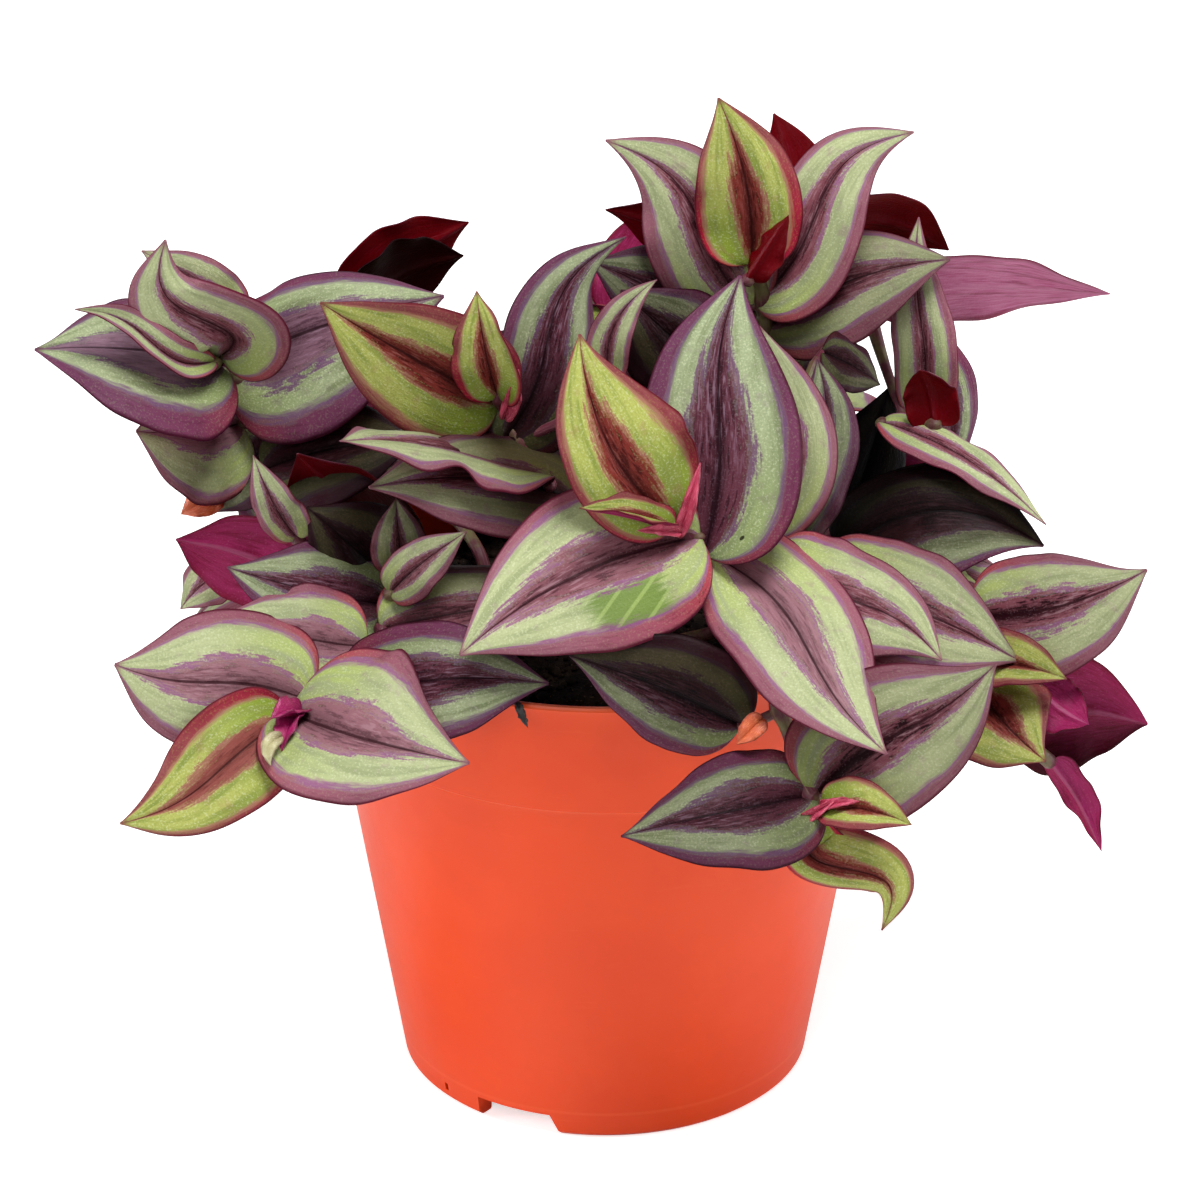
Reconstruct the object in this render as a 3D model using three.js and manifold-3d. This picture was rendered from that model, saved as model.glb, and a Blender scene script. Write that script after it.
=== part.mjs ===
import * as THREE from "three";
import { mergeVertices } from "three/addons/utils/BufferGeometryUtils.js";
import Module from "manifold-3d";

const wasm = await Module();
wasm.setup();

// Lengths are in millimetres, +Z is up and the floor is Z = 0.
// The leaf and stem points below are measured from the pot's axis at floor height.
// The finished plant is moved by this much, so that its box stands centred over the origin.
const potAxisX = 2;
const potAxisY = -2;

// pot
const potHeight = 107.5;
const rimRadius = 60;
const baseRadius = 42.5;
const bandHeight = 25;
const bandStep = 0.4;
const wall = 1.3;
const footHeight = 5;
const baseThickness = 1.3;
const footWidth = 2.4;
const footSetback = 1.6;
const edgeRounding = 0.6;
const footTaper = 0.2;
const footRounding = 0.5;
const floorRounding = 1;
const bandRise = 0.4;
const lipHeight = 1.2;
const lipWidth = 0.9;
const lipRounding = 0.3;
const notchWidth = 16.4;
const notchSlant = 2.2;
const notchAngles = [-26.5, 93.5, 213.5];
const notchDepth = 16;
const notchOverrun = 4;
const slotInner = 28;
const slotOuter = 35;
const slotAngle = 22;
const slitAngle = -50;
const slitWidth = 1;
const slitBottom = 2.6;
const slitTop = 4.6;
const slitLength = 12;
const cutOvershoot = 1;
const slotSegments = 8;
const potSides = 36;

// soil
const soilEdgeHeight = 96;
const soilMiddleHeight = 98.5;
const soilOuterRing = 48;
const soilInnerRing = 30;
const soilOuterRise = 1.4;
const soilInnerDrop = 0.4;
const soilRounding = 1.2;
const soilSlack = 0.1;
const gap = 0.3;

// stems and leaves
const stemRadius = 1.5;
const sideStemRadius = 1.1;
const knobRadius = 2.4;
const stemSides = 5;
const stemSteps = 7;
const stemSamples = 60;
const sideKnobGrowth = 0.5;
const rootKnot = 2;
const leafThickness = 0.9;
const leafTipHalfWidth = 0.35;
const widthGrowth = 0.55;
const widthTaper = 1.15;
const claspFold = 35;
const claspReach = 0.25;
const ownSteps = 7;
const smallSteps = 5;
const ownAcross = [-1, -0.5, 0, 0.5, 1];
const smallAcross = [-1, 0, 1];
const baseStart = 0.02;
const rootedStart = -0.03;
const tipEnd = 0.995;
const twistStart = 0.25;
const baseProbe = 3;
const baseNearness = 1;
const smoothing = 0.1;
const touching = 0.001;

const colours = {
  pot: 0xe9552f,
  soil: 0x2b211b,
  stem: 0x6d4a4b,
  under: 0x7d1f4c,
  young: 0x97a350,
  middle: 0x8fa078,
  old: 0x87948a,
};
const roughness = { pot: 0.42, soil: 0.95, leaf: 0.4, stem: 0.5 };

// Points along the middle of each stem, from inside the soil to the top knob.
const stems = {
  front: [[10, -14, 90], [12, -18, 100], [23, -34, 113], [18, -46, 132], [16, -48, 138], [15, -49, 141]],
  crown: [[18, 8, 90], [19, 8, 102], [28, 8, 139], [32, 9, 161], [31, 5, 169], [30, 3, 173]],
  mid_left: [[-14, -2, 90], [-13, -4, 101], [-9, -18, 128], [-15, -17, 142], [-20, -14, 150]],
  upper_left: [[-30, 8, 90], [-32, 8, 101], [-56, 0, 129], [-69, 6, 144], [-77, 3, 155]],
  lower_left: [[-26, -22, 90], [-27, -24, 101], [-40, -40, 112], [-51, -50, 109], [-62, -58, 103]],
  rim: [[26, -26, 90], [27, -29, 101], [31, -55, 112], [35, -67, 106], [39, -74, 96], [41, -75, 95]],
  lower_right: [[34, -6, 90], [35, -7, 101], [55, -20, 112], [71, -30, 104], [79, -36, 97]],
  right: [[34, 14, 90], [35, 14, 101], [50, 14, 114], [58, 16, 131], [61, 13, 137]],
  inner_left: [[-36, -8, 90], [-37, -10, 101], [-41, -22, 113], [-50, -20, 117], [-61, -14, 121]],
  back_left: [[-24, 20, 90], [-26, 24, 101], [-40, 46, 111], [-44, 44, 122], [-42, 40, 130]],
  back: [[4, 24, 90], [4, 26, 101], [6, 52, 112], [8, 52, 128], [6, 48, 144]],
  back_right: [[26, 22, 90], [28, 25, 101], [44, 42, 112], [45, 42, 124]],
  left_side: [[-40, 4, 90], [-44, 5, 101], [-58, 10, 110], [-64, 12, 106]],
  right_side: [[42, 2, 90], [45, 3, 101], [58, 8, 110], [64, 10, 106]],
};

// One row for each leaf: its shoot, where it starts, its tip, the way its upper side looks,
// its greatest width, its tone, and how it departs from a plain leaf. A leaf whose tone is
// "withStem" is one body with its shoot's stem, and every other leaf is a piece of its own.
const leaves = [];

function leaf(shoot, base, tip, faces, wide, tone, more = {}) {
  const usual = { arch: 3, sway: 0, snake: 0, fold: 14, bend: 40, twist: 0, lean: 0 };
  const own = tone !== "withStem";
  const number = leaves.filter((row) => row.shoot === shoot).length + 1;
  leaves.push({ shoot, number, base, tip, faces, wide, tone, own, ...usual, ...more });
}

// the front shoot
leaf("front", [18, -49, 139], [-28, -62, 120], [-2, -9, 7], 35, "middle", {
  arch: 5, sway: 2.5, twist: 10,
});
leaf("front", [13, -49, 142], [-5, -44, 179], [2, -9, 3], 26, "young", { sway: -5, fold: 18, lean: 0.2 });
leaf("front", [19, -48, 135], [26, -24, 183], [-2, -9, 3], 33, "old", {
  arch: 4, snake: 1.5, fold: 20, bend: 32,
});
leaf("front", [21, -45, 133], [53, -82, 109], [4, -9, 7], 29, "middle", { arch: 1, sway: -1.5, snake: -2 });
leaf("front", [13, -52, 142], [-5, -60, 150], [0, -3, 9], 9, "young", { arch: 1, fold: 45, bend: 20 });
leaf("front", [27, -34, 134], [30, -18, 170], [2, -9, 3], 26, "middle", {
  arch: 4, sway: 6.5, snake: 1.5, lean: -0.2,
});
leaf("front", [33, -26, 128], [42, -6, 158], [3, -9, 3], 23, "old", { sway: 2.5, snake: -1.5 });
leaf("front", [43, -2, 158], [55, 0, 150], [2, -6, 7], 13, "withStem", { arch: 1 });
leaf("front", [31, -42, 131], [65, -54, 115], [4, -8, 9], 27, "middle", { snake: 1.5 });

// the crown shoot
leaf("crown", [29, 3, 175], [22, 2, 210], [0, -9, 2], 22, "young", { arch: 1.5, sway: 2, bend: 48 });
leaf("crown", [28, 8, 164], [0, 8, 199], [-2, -9, 3], 25, "middle", { arch: 5, sway: 5, snake: -2 });
leaf("crown", [30, 8, 165], [61, 10, 200], [-1, -9, 8], 22, "middle", {
  arch: 4, sway: -2.5, snake: 3, bend: 50,
});
leaf("crown", [32, 10, 158], [69, 10, 173], [2, -9, 8], 25, "middle", { arch: 4, sway: -2 });
leaf("crown", [32, 18, 169], [34, 32, 196], [3, 9, 2], 21, "under", { sway: -4 });
leaf("crown", [28, -1, 173], [36, -2, 187], [5, 6, -4], 8, "withStem", { arch: 0, fold: 30, bend: 10 });
leaf("crown", [27, 20, 160], [0, 30, 176], [0, 8, 6], 22, "withStem", { sway: -3 });
leaf("crown", [39, 18, 174], [70, 28, 168], [0, 8, 5], 24, "withStem", { arch: 4, sway: 3 });
leaf("crown", [22, 12, 157], [-3, 4, 175], [-2, -7, 7], 24, "withStem");
leaf("crown", [20, 4, 152], [3, -4, 172], [-2, -8, 5], 24, "withStem");
leaf("crown", [28, 8, 139], [42, 38, 150], [1, 5, 8], 28, "withStem", { arch: 4 });
leaf("crown", [28, 8, 138], [8, 36, 142], [-1, 5, 8], 28, "withStem", { arch: 4 });

// the mid left shoot
leaf("mid_left", [1, -20, 158], [10, -16, 179], [0, -9, 4], 9, "withStem", { sway: -4, fold: 30 });
leaf("mid_left", [-21, -16, 153], [-55, -28, 179], [-3, -9, 3], 27, "young", { arch: 2, bend: 16 });
leaf("mid_left", [-21, -20, 156], [-25, -22, 179], [-3, -9, 2], 15, "young", {
  sway: 0.5, fold: 24, bend: 24,
});
leaf("mid_left", [-20, -17, 145], [4, -6, 184], [3, -9, 3], 23, "old", {
  sway: -4.5, snake: 2.5, fold: 6, bend: 54, twist: 34, lean: 0.2,
});
leaf("mid_left", [-11, -24, 139], [-51, -42, 156], [-1, 0, 9], 30, "middle", { arch: 1.5, sway: 4.5 });
leaf("mid_left", [-6, -21, 134], [-46, -37, 144], [0, -6, 9], 27, "middle", { arch: 4, sway: 1 });

// the upper left shoot
leaf("upper_left", [-52, 20, 158], [-28, 36, 171], [1, 9, 4], 23, "under", { arch: 2, fold: 22 });
leaf("upper_left", [-77, 3, 153], [-113, -8, 161], [-2, -6, 9], 36, "old", {
  arch: 4, sway: -1, fold: 18, bend: 34, twist: 16, lean: -0.2,
});
leaf("upper_left", [-77, 1, 156], [-86, -10, 185], [-2, -9, 4], 24, "middle", {
  arch: 6, sway: 1.5, snake: 4.5, fold: 22, bend: 26, twist: 10,
});
leaf("upper_left", [-78, -5, 157], [-104, -14, 172], [0, -9, 9], 9, "middle", {
  sway: -2, snake: -2, fold: 40, bend: 10,
});
leaf("upper_left", [-74, 6, 162], [-92, 2, 178], [-2, -8, 5], 13, "withStem", { sway: 1 });
leaf("upper_left", [-76, 9, 150], [-32, -2, 170], [1, -9, 8], 36, "old", {
  arch: 5.5, fold: 8, bend: 48, lean: 0.2,
});
leaf("upper_left", [-74, 6, 139], [-93, -14, 146], [0, -9, 4], 31, "middle", { arch: 1, sway: -1 });
leaf("upper_left", [-66, 6, 136], [-80, 2, 121], [-2, -7, 7], 20, "withStem");
leaf("upper_left", [-56, 0, 129], [-66, 34, 134], [-2, 5, 8], 27, "withStem", { arch: 4 });
leaf("upper_left", [-50, 14, 160], [-29, 30, 166], [1, 9, 4], 26, "withStem");

// the lower left shoot
leaf("lower_left", [-58, -55, 107], [-94, -66, 120], [-2, -9, 6], 32, "middle", {
  arch: 0, snake: 1, fold: 6, bend: 50,
});
leaf("lower_left", [-61, -60, 106], [-93, -76, 91], [-2, -9, 5], 22, "young", {
  sway: -2.5, snake: 1, fold: 16, bend: 32,
});
leaf("lower_left", [-61, -59, 106], [-26, -74, 103], [4, -8, 9], 38, "middle", {
  arch: 5.5, sway: 4, twist: -8, lean: -0.2,
});
leaf("lower_left", [-47, -42, 112], [-75, -46, 121], [-1, -7, 9], 26, "middle", { arch: 2, sway: -2 });
leaf("lower_left", [-50, -51, 105], [-11, -58, 112], [1, -9, 9], 27, "old", { arch: 4.5, sway: -1 });

// the rim shoot
leaf("rim", [26, -64, 106], [-7, -60, 119], [-1, -9, 1], 24, "old", { arch: 4, sway: 2.5 });
leaf("rim", [39, -74, 96], [3, -84, 93], [-2, -8, 9], 26, "old", { arch: 5, sway: -2, twist: 20 });
leaf("rim", [40, -74, 96], [74, -70, 122], [2, -9, 7], 30, "middle", { arch: 1.5, snake: -1 });
leaf("rim", [39, -77, 94], [53, -82, 71], [-3, -9, 6], 15, "young", {
  arch: 0.5, sway: -1, snake: 5, fold: 6, bend: 54, twist: 12, lean: -0.2,
});
leaf("rim", [42, -77, 95], [58, -84, 95], [1, -7, 7], 12, "young", { fold: 35, bend: 20 });

// the lower right shoot
leaf("lower_right", [72, -30, 113], [106, -36, 126], [4, -9, 9], 29, "middle", {
  arch: 2.5, sway: 3.5, fold: 4, bend: 50,
});
leaf("lower_right", [73, -38, 106], [90, -48, 108], [1, -7, 7], 14, "young", { fold: 35, bend: 20 });
leaf("lower_right", [75, -38, 100], [86, -54, 93], [0, -7, 7], 24, "withStem", { sway: 2 });
leaf("lower_right", [81, -24, 86], [109, -26, 87], [3, 8, 2], 33, "under", { sway: 1, fold: 20 });
leaf("lower_right", [85, -40, 102], [95, -46, 97], [2, 6, -7], 12, "withStem");
leaf("lower_right", [90, -25, 78], [101, -26, 58], [5, 8, 1], 9, "withStem", { sway: -1, fold: 30 });

// the right shoot
leaf("right", [40, -34, 124], [81, -44, 110], [4, -7, 9], 31, "middle", {
  arch: 6.5, sway: 2.5, twist: 16,
});
leaf("right", [48, -4, 115], [88, -12, 120], [1, -9, 8], 28, "old", { arch: 5, sway: -6.5, lean: 0.2 });
leaf("right", [53, 26, 159], [104, 34, 156], [0, 9, 6], 26, "under", {
  arch: 2.5, fold: 6, bend: 20, twist: 12,
});
leaf("right", [64, 14, 137], [63, 18, 179], [-3, -9, 3], 14, "middle", { arch: 4, sway: 1.5, snake: 1 });
leaf("right", [64, 24, 149], [70, 22, 120], [3, -9, 2], 15, "withStem", { sway: -3 });
leaf("right", [67, 6, 139], [63, 3, 152], [1, 9, 4], 12, "withStem", { fold: 4 });
leaf("right", [56, 11, 137], [88, -15, 126], [2, -4, 9], 12, "middle", { arch: 4 });
leaf("right", [50, 14, 116], [58, 18, 142], [1, -9, 3], 17, "withStem");
leaf("right", [50, 14, 115], [43, 20, 142], [-1, -9, 3], 17, "withStem");

// the inner left shoot
leaf("inner_left", [-61, -23, 127], [-69, -26, 146], [-2, -9, 3], 10, "withStem");
leaf("inner_left", [-69, -2, 132], [-37, -8, 141], [0, -5, 8], 28, "withStem");
leaf("inner_left", [-45, -8, 113], [-61, -16, 142], [2, 9, 3], 28, "withStem");
leaf("inner_left", [-43, -20, 115], [-59, -24, 134], [0, -8, 6], 24, "withStem");
leaf("inner_left", [-40, -32, 125], [-41, -31, 139], [0, -9, 4], 12, "withStem", { fold: 30 });
leaf("inner_left", [-42, -38, 122], [-27, -40, 136], [0, -8, 6], 11, "withStem");
leaf("inner_left", [-43, -27, 114], [-74, -37, 127], [0, -6, 9], 27, "old", { sway: -3 });
leaf("inner_left", [-44, -40, 115], [-6, -36, 119], [0, -7, 7], 22, "withStem");
leaf("inner_left", [-59, -14, 112], [-85, -24, 127], [-1, 8, 2], 24, "under", { fold: 20 });
leaf("inner_left", [-74, -6, 114], [-86, -10, 105], [-5, -8, 3], 12, "withStem");

// the back left shoot
leaf("back_left", [-43, 40, 130], [-84, 56, 118], [-3, 6, 7], 30, "withStem");
leaf("back_left", [-42, 41, 130], [-50, 86, 112], [-1, 8, 6], 31, "withStem");
leaf("back_left", [-41, 40, 131], [-16, 70, 130], [3, 7, 6], 28, "withStem", { arch: 5 });
leaf("back_left", [-42, 40, 132], [-60, 62, 134], [0, 5, 8], 20, "withStem");
leaf("back_left", [-40, 48, 112], [-60, 84, 92], [-3, 8, 5], 30, "withStem", { arch: 6 });
leaf("back_left", [-39, 49, 112], [-20, 90, 94], [1, 9, 4], 28, "withStem", { arch: 5 });
leaf("back_left", [-34, 36, 108], [-60, 30, 122], [-3, 0, 9], 27, "withStem");
leaf("back_left", [-33, 35, 108], [-12, 50, 121], [1, 3, 9], 27, "withStem");
leaf("back_left", [-41, 47, 113], [-76, 52, 100], [-6, 6, 5], 27, "withStem", { arch: 5 });

// the back shoot
leaf("back", [6, 49, 144], [-6, 90, 126], [-1, 8, 6], 31, "withStem", { arch: 4 });
leaf("back", [7, 49, 144], [38, 82, 142], [2, 8, 6], 30, "withStem", { arch: 4 });
leaf("back", [6, 48, 144], [14, 58, 168], [0, 9, 3], 24, "withStem");
leaf("back", [6, 62, 110], [4, 96, 92], [0, 9, 4], 30, "withStem", { arch: 6 });
leaf("back", [7, 62, 111], [40, 90, 96], [2, 8, 5], 28, "withStem", { arch: 5 });
leaf("back", [8, 53, 127], [-28, 72, 130], [-2, 7, 7], 29, "withStem", { arch: 4 });
leaf("back", [8, 53, 128], [46, 70, 140], [2, 7, 7], 29, "withStem");
leaf("back", [6, 49, 143], [-8, 62, 142], [-2, 2, 9], 18, "withStem");
leaf("back", [5, 38, 107], [-22, 36, 120], [-3, 1, 9], 28, "withStem");
leaf("back", [5, 38, 108], [30, 34, 122], [2, 0, 9], 28, "withStem");

// the back right shoot
leaf("back_right", [45, 42, 122], [86, 58, 94], [4, 6, 7], 29, "withStem", { arch: 6 });
leaf("back_right", [44, 43, 124], [44, 88, 112], [1, 8, 6], 30, "withStem", { arch: 4 });
leaf("back_right", [52, 46, 108], [66, 76, 84], [4, 8, 5], 29, "withStem", { arch: 5 });
leaf("back_right", [36, 34, 107], [24, 54, 125], [0, 6, 8], 27, "withStem");
leaf("back_right", [37, 35, 107], [64, 26, 116], [3, 1, 9], 27, "withStem");

// the left side shoot
leaf("left_side", [-64, 12, 105], [-90, 14, 80], [-8, 1, 6], 28, "withStem", { arch: 5 });
leaf("left_side", [-64, 13, 106], [-80, 44, 88], [-6, 5, 6], 28, "withStem", { arch: 5 });
leaf("left_side", [-58, 10, 110], [-74, 30, 120], [-4, 3, 8], 25, "withStem");

// the right side shoot
leaf("right_side", [64, 10, 105], [94, 12, 82], [8, 0, 6], 28, "withStem", { arch: 5 });
leaf("right_side", [64, 11, 105], [88, 40, 84], [7, 4, 6], 27, "withStem", { arch: 5 });
leaf("right_side", [58, 8, 110], [80, 26, 107], [4, 2, 8], 25, "withStem");

const radians = THREE.MathUtils.degToRad;

function point(list) {
  return new THREE.Vector3(list[0], list[1], list[2]);
}

function solidFrom(geometry) {
  geometry.deleteAttribute("normal");
  geometry.deleteAttribute("uv");
  const merged = mergeVertices(geometry, 1e-4);
  const mesh = new wasm.Mesh({
    numProp: 3,
    vertProperties: new Float32Array(merged.attributes.position.array),
    triVerts: new Uint32Array(merged.index.array),
  });
  return new wasm.Manifold(mesh);
}

function geometryFrom(solid) {
  const mesh = solid.getMesh();
  const geometry = new THREE.BufferGeometry();
  geometry.setAttribute("position", new THREE.BufferAttribute(new Float32Array(mesh.vertProperties), 3));
  geometry.setIndex(new THREE.BufferAttribute(new Uint32Array(mesh.triVerts), 1));
  geometry.translate(potAxisX, potAxisY, 0);
  geometry.computeVertexNormals();
  return geometry;
}

// a closed profile of [radius, height] pairs turned about the pot's axis
function turned(profile) {
  const points = profile.map(([radius, height]) => new THREE.Vector2(radius, height));
  const geometry = new THREE.LatheGeometry(points, potSides);
  geometry.rotateX(Math.PI / 2);
  return solidFrom(geometry);
}

function outerRadius(height) {
  return baseRadius + ((rimRadius - baseRadius) * height) / potHeight;
}

// Angles around the pot are counted from its front, -Y, towards +X.
function aroundPot(solid, angle) {
  return solid.rotate([0, 0, angle]);
}

function footNotch(angle) {
  const half = notchWidth / 2;
  const outline = new THREE.Shape();
  outline.moveTo(-half, -cutOvershoot);
  outline.lineTo(half + notchSlant, -cutOvershoot);
  outline.lineTo(half, footHeight);
  outline.lineTo(-half, footHeight);
  outline.closePath();
  const depth = notchDepth;
  const geometry = new THREE.ExtrudeGeometry(outline, { depth, bevelEnabled: false, steps: 1 });
  geometry.rotateX(Math.PI / 2);
  geometry.translate(0, depth - baseRadius - notchOverrun, 0);
  return aroundPot(solidFrom(geometry), angle);
}

function drainSlot(angle) {
  const outline = new THREE.Shape();
  const start = radians(-90 - slotAngle / 2);
  const end = radians(-90 + slotAngle / 2);
  outline.absarc(0, 0, slotOuter, start, end, false);
  outline.absarc(0, 0, slotInner, end, start, true);
  outline.closePath();
  const depth = baseThickness + 2 * cutOvershoot;
  const options = { depth, bevelEnabled: false, curveSegments: slotSegments };
  const geometry = new THREE.ExtrudeGeometry(outline, options);
  geometry.translate(0, 0, footHeight - cutOvershoot);
  return aroundPot(solidFrom(geometry), angle);
}

function makePot() {
  const bandBottom = potHeight - bandHeight;
  const floorTop = footHeight + baseThickness;
  const footInner = baseRadius - footSetback - footWidth;
  const profile = [
    [0, footHeight],
    [footInner - edgeRounding, footHeight],
    [footInner, footHeight - edgeRounding],
    [footInner + footTaper, 0],
    [footInner + footTaper + footWidth, 0],
    [baseRadius - footRounding, footRounding],
    [outerRadius(footSetback), footSetback],
    [outerRadius(bandBottom), bandBottom],
    [outerRadius(bandBottom) + bandStep, bandBottom + bandRise],
    [rimRadius, potHeight - lipHeight],
    [rimRadius - lipRounding, potHeight - lipRounding],
    [rimRadius - lipWidth, potHeight],
    [rimRadius - wall - lipRounding, potHeight - lipRounding],
    [rimRadius - wall - bandStep, potHeight - lipHeight],
    [outerRadius(bandBottom) - wall, bandBottom],
    [outerRadius(floorTop) - wall, floorTop + floorRounding],
    [outerRadius(floorTop) - wall - floorRounding, floorTop],
    [0, floorTop],
  ];
  let pot = turned(profile);
  for (const angle of notchAngles) {
    pot = pot.subtract(footNotch(angle)).subtract(drainSlot(angle));
  }
  const slit = new THREE.BoxGeometry(slitWidth, slitLength, slitTop - slitBottom);
  slit.translate(0, -baseRadius, (slitTop + slitBottom) / 2);
  return pot.subtract(aroundPot(solidFrom(slit), slitAngle));
}

function makeSoil() {
  const bottom = footHeight + baseThickness + gap;
  const bandBottom = potHeight - bandHeight;
  const inside = (height) => outerRadius(height) - wall - gap;
  return turned([
    [0, bottom],
    [inside(bottom) - soilRounding, bottom],
    [inside(bottom) - soilSlack, bottom + soilRounding],
    [inside(bandBottom) - soilSlack, bandBottom],
    [inside(soilEdgeHeight) - gap, soilEdgeHeight],
    [soilOuterRing, soilEdgeHeight + soilOuterRise],
    [soilInnerRing, soilMiddleHeight - soilInnerDrop],
    [0, soilMiddleHeight],
  ]);
}

function stemPath(list) {
  return new THREE.CatmullRomCurve3(list.map(point), false, "centripetal");
}

function tube(path, radius, steps) {
  const ring = new THREE.Shape();
  for (let side = 0; side < stemSides; side++) {
    const angle = (2 * Math.PI * side) / stemSides;
    const x = radius * Math.cos(angle);
    const y = radius * Math.sin(angle);
    if (side === 0) ring.moveTo(x, y);
    else ring.lineTo(x, y);
  }
  ring.closePath();
  const geometry = new THREE.ExtrudeGeometry(ring, { steps, extrudePath: path, bevelEnabled: false });
  return solidFrom(geometry);
}

function knob(centre, radius) {
  const geometry = new THREE.OctahedronGeometry(radius, 0);
  geometry.translate(centre.x, centre.y, centre.z);
  return solidFrom(geometry);
}

function nearestOnStem(path, target) {
  let best = path.getPoint(0);
  for (let step = 1; step <= stemSamples; step++) {
    const here = path.getPoint(step / stemSamples);
    if (here.distanceTo(target) < best.distanceTo(target)) best = here;
  }
  return best;
}

// A stem with its knob, and a short side stem to each leaf that starts away from it.
function makeStem(shoot, grow) {
  const path = stemPath(stems[shoot]);
  let solid = tube(path, stemRadius + grow, stemSteps).add(knob(path.getPoint(1), knobRadius + grow));
  for (const row of leaves.filter((each) => each.shoot === shoot)) {
    const base = point(row.base);
    const start = nearestOnStem(path, base);
    if (start.distanceTo(base) > stemRadius) {
      const side = new THREE.LineCurve3(start, base);
      solid = solid.add(tube(side, sideStemRadius + grow, 1));
      solid = solid.add(knob(base, sideStemRadius + sideKnobGrowth + grow));
    }
  }
  return solid;
}

// u runs from the leaf's base to its tip and is widest a third of the way along.
function halfWidthAt(u, wide) {
  const widest = widthGrowth / (widthGrowth + widthTaper);
  const rise = Math.pow(Math.max(u, baseStart) / widest, widthGrowth);
  const fall = Math.pow(Math.max(1 - u, 0) / (1 - widest), widthTaper);
  return Math.max((wide / 2) * rise * fall, leafTipHalfWidth);
}

// One leaf as a thin closed shell. The middle line is an arch from base to tip, and each
// cross section is two arcs that meet at the middle line in a fold.
function leafSolid(row, grow) {
  const { arch, sway, snake, fold, bend, twist, lean } = row;
  const base = point(row.base);
  const chord = point(row.tip).sub(base);
  const side0 = chord.clone().cross(point(row.faces)).normalize();
  const up0 = side0.clone().cross(chord).normalize();
  const steps = row.own ? ownSteps : smallSteps;
  const overhang = grow / chord.length();
  const first = (row.own ? baseStart : rootedStart) - overhang;
  const rows = [];
  for (let i = 0; i <= steps; i++) {
    const u = first + ((tipEnd + overhang - first) * i) / steps;
    const rise = 4 * u * (1 - u);
    const wave = Math.sin(2 * Math.PI * u);
    const riseSlope = 4 - 8 * u;
    const waveSlope = 2 * Math.PI * Math.cos(2 * Math.PI * u);
    const middle = base.clone().addScaledVector(chord, u).addScaledVector(up0, arch * rise);
    middle.addScaledVector(side0, sway * rise + snake * wave);
    const along = chord.clone().addScaledVector(up0, arch * riseSlope);
    along.addScaledVector(side0, sway * riseSlope + snake * waveSlope).normalize();
    const turn = radians(twist) * (u - twistStart);
    const up = up0.clone().addScaledVector(along, -along.dot(up0)).normalize();
    up.applyAxisAngle(along, turn);
    const side = along.clone().cross(up);
    const half = halfWidthAt(u, row.wide) + grow;
    const clasp = Math.pow(Math.max(1 - u / claspReach, 0), 2);
    const foldHere = radians(fold) + radians(claspFold) * clasp;
    const bendHere = radians(bend);
    const section = [];
    for (const across of row.own ? ownAcross : smallAcross) {
      const reach = Math.abs(across);
      const tilt = foldHere - bendHere * reach;
      const out = (half * (Math.sin(foldHere) - Math.sin(tilt))) / bendHere;
      const high = (half * (Math.cos(tilt) - Math.cos(foldHere))) / bendHere;
      const sign = Math.sign(across);
      const leaning = sign * out * (1 + sign * lean);
      const spot = middle.clone().addScaledVector(side, leaning).addScaledVector(up, high);
      const normal = up.clone().multiplyScalar(across === 0 ? 1 : Math.cos(tilt));
      if (across !== 0) normal.addScaledVector(side, -sign * Math.sin(tilt));
      section.push({ spot, normal });
    }
    rows.push(section);
  }
  return shellSolid(rows, leafThickness / 2 + grow, grow);
}

// Rows of points with normals, thickened to both sides. The two sides meet along the border,
// or keep their distance there when rimHalf isn't nothing.
function shellSolid(rows, half, rimHalf) {
  const last = rows.length - 1;
  const wide = rows[0].length;
  const isBorder = (i, j) => i === 0 || i === last || j === 0 || j === wide - 1;
  const positions = [];
  const upper = [];
  const lower = [];
  for (let i = 0; i <= last; i++) {
    for (let j = 0; j < wide; j++) {
      const { spot, normal } = rows[i][j];
      const away = isBorder(i, j) ? rimHalf : half;
      upper.push(positions.length / 3);
      positions.push(...spot.clone().addScaledVector(normal, away).toArray());
      if (away > 0) positions.push(...spot.clone().addScaledVector(normal, -away).toArray());
      lower.push(positions.length / 3 - 1);
    }
  }
  const faces = [];
  for (let i = 0; i < last; i++) {
    for (let j = 0; j < wide - 1; j++) {
      const corners = [i * wide + j, i * wide + j + 1, (i + 1) * wide + j + 1, (i + 1) * wide + j];
      const fromCorner = j < (wide - 1) / 2 === i < last / 2;
      const order = fromCorner ? [0, 1, 2, 0, 2, 3] : [0, 1, 3, 1, 2, 3];
      const around = order.map((k) => corners[k]);
      faces.push(...around.map((k) => upper[k]));
      faces.push(...around.map((k) => lower[k]).reverse());
    }
  }
  if (rimHalf > 0) {
    const border = [];
    for (let j = 0; j < wide - 1; j++) border.push(j);
    for (let i = 0; i < last; i++) border.push(i * wide + wide - 1);
    for (let j = wide - 1; j > 0; j--) border.push(last * wide + j);
    for (let i = last; i > 0; i--) border.push(i * wide);
    border.forEach((here, index) => {
      const next = border[(index + 1) % border.length];
      faces.push(upper[here], lower[here], lower[next], upper[here], lower[next], upper[next]);
    });
  }
  const mesh = new wasm.Mesh({
    numProp: 3,
    vertProperties: new Float32Array(positions),
    triVerts: new Uint32Array(faces),
  });
  return new wasm.Manifold(mesh);
}

function boxesMeet(a, b) {
  return [0, 1, 2].every((axis) => a.min[axis] < b.max[axis] && b.min[axis] < a.max[axis]);
}

// Solids that are already in place, a gap larger all round; a later solid gives way to them.
const placed = [];

function place(shoot, grown, solid) {
  placed.push({ shoot, grown, solid, box: grown.boundingBox() });
}

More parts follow.
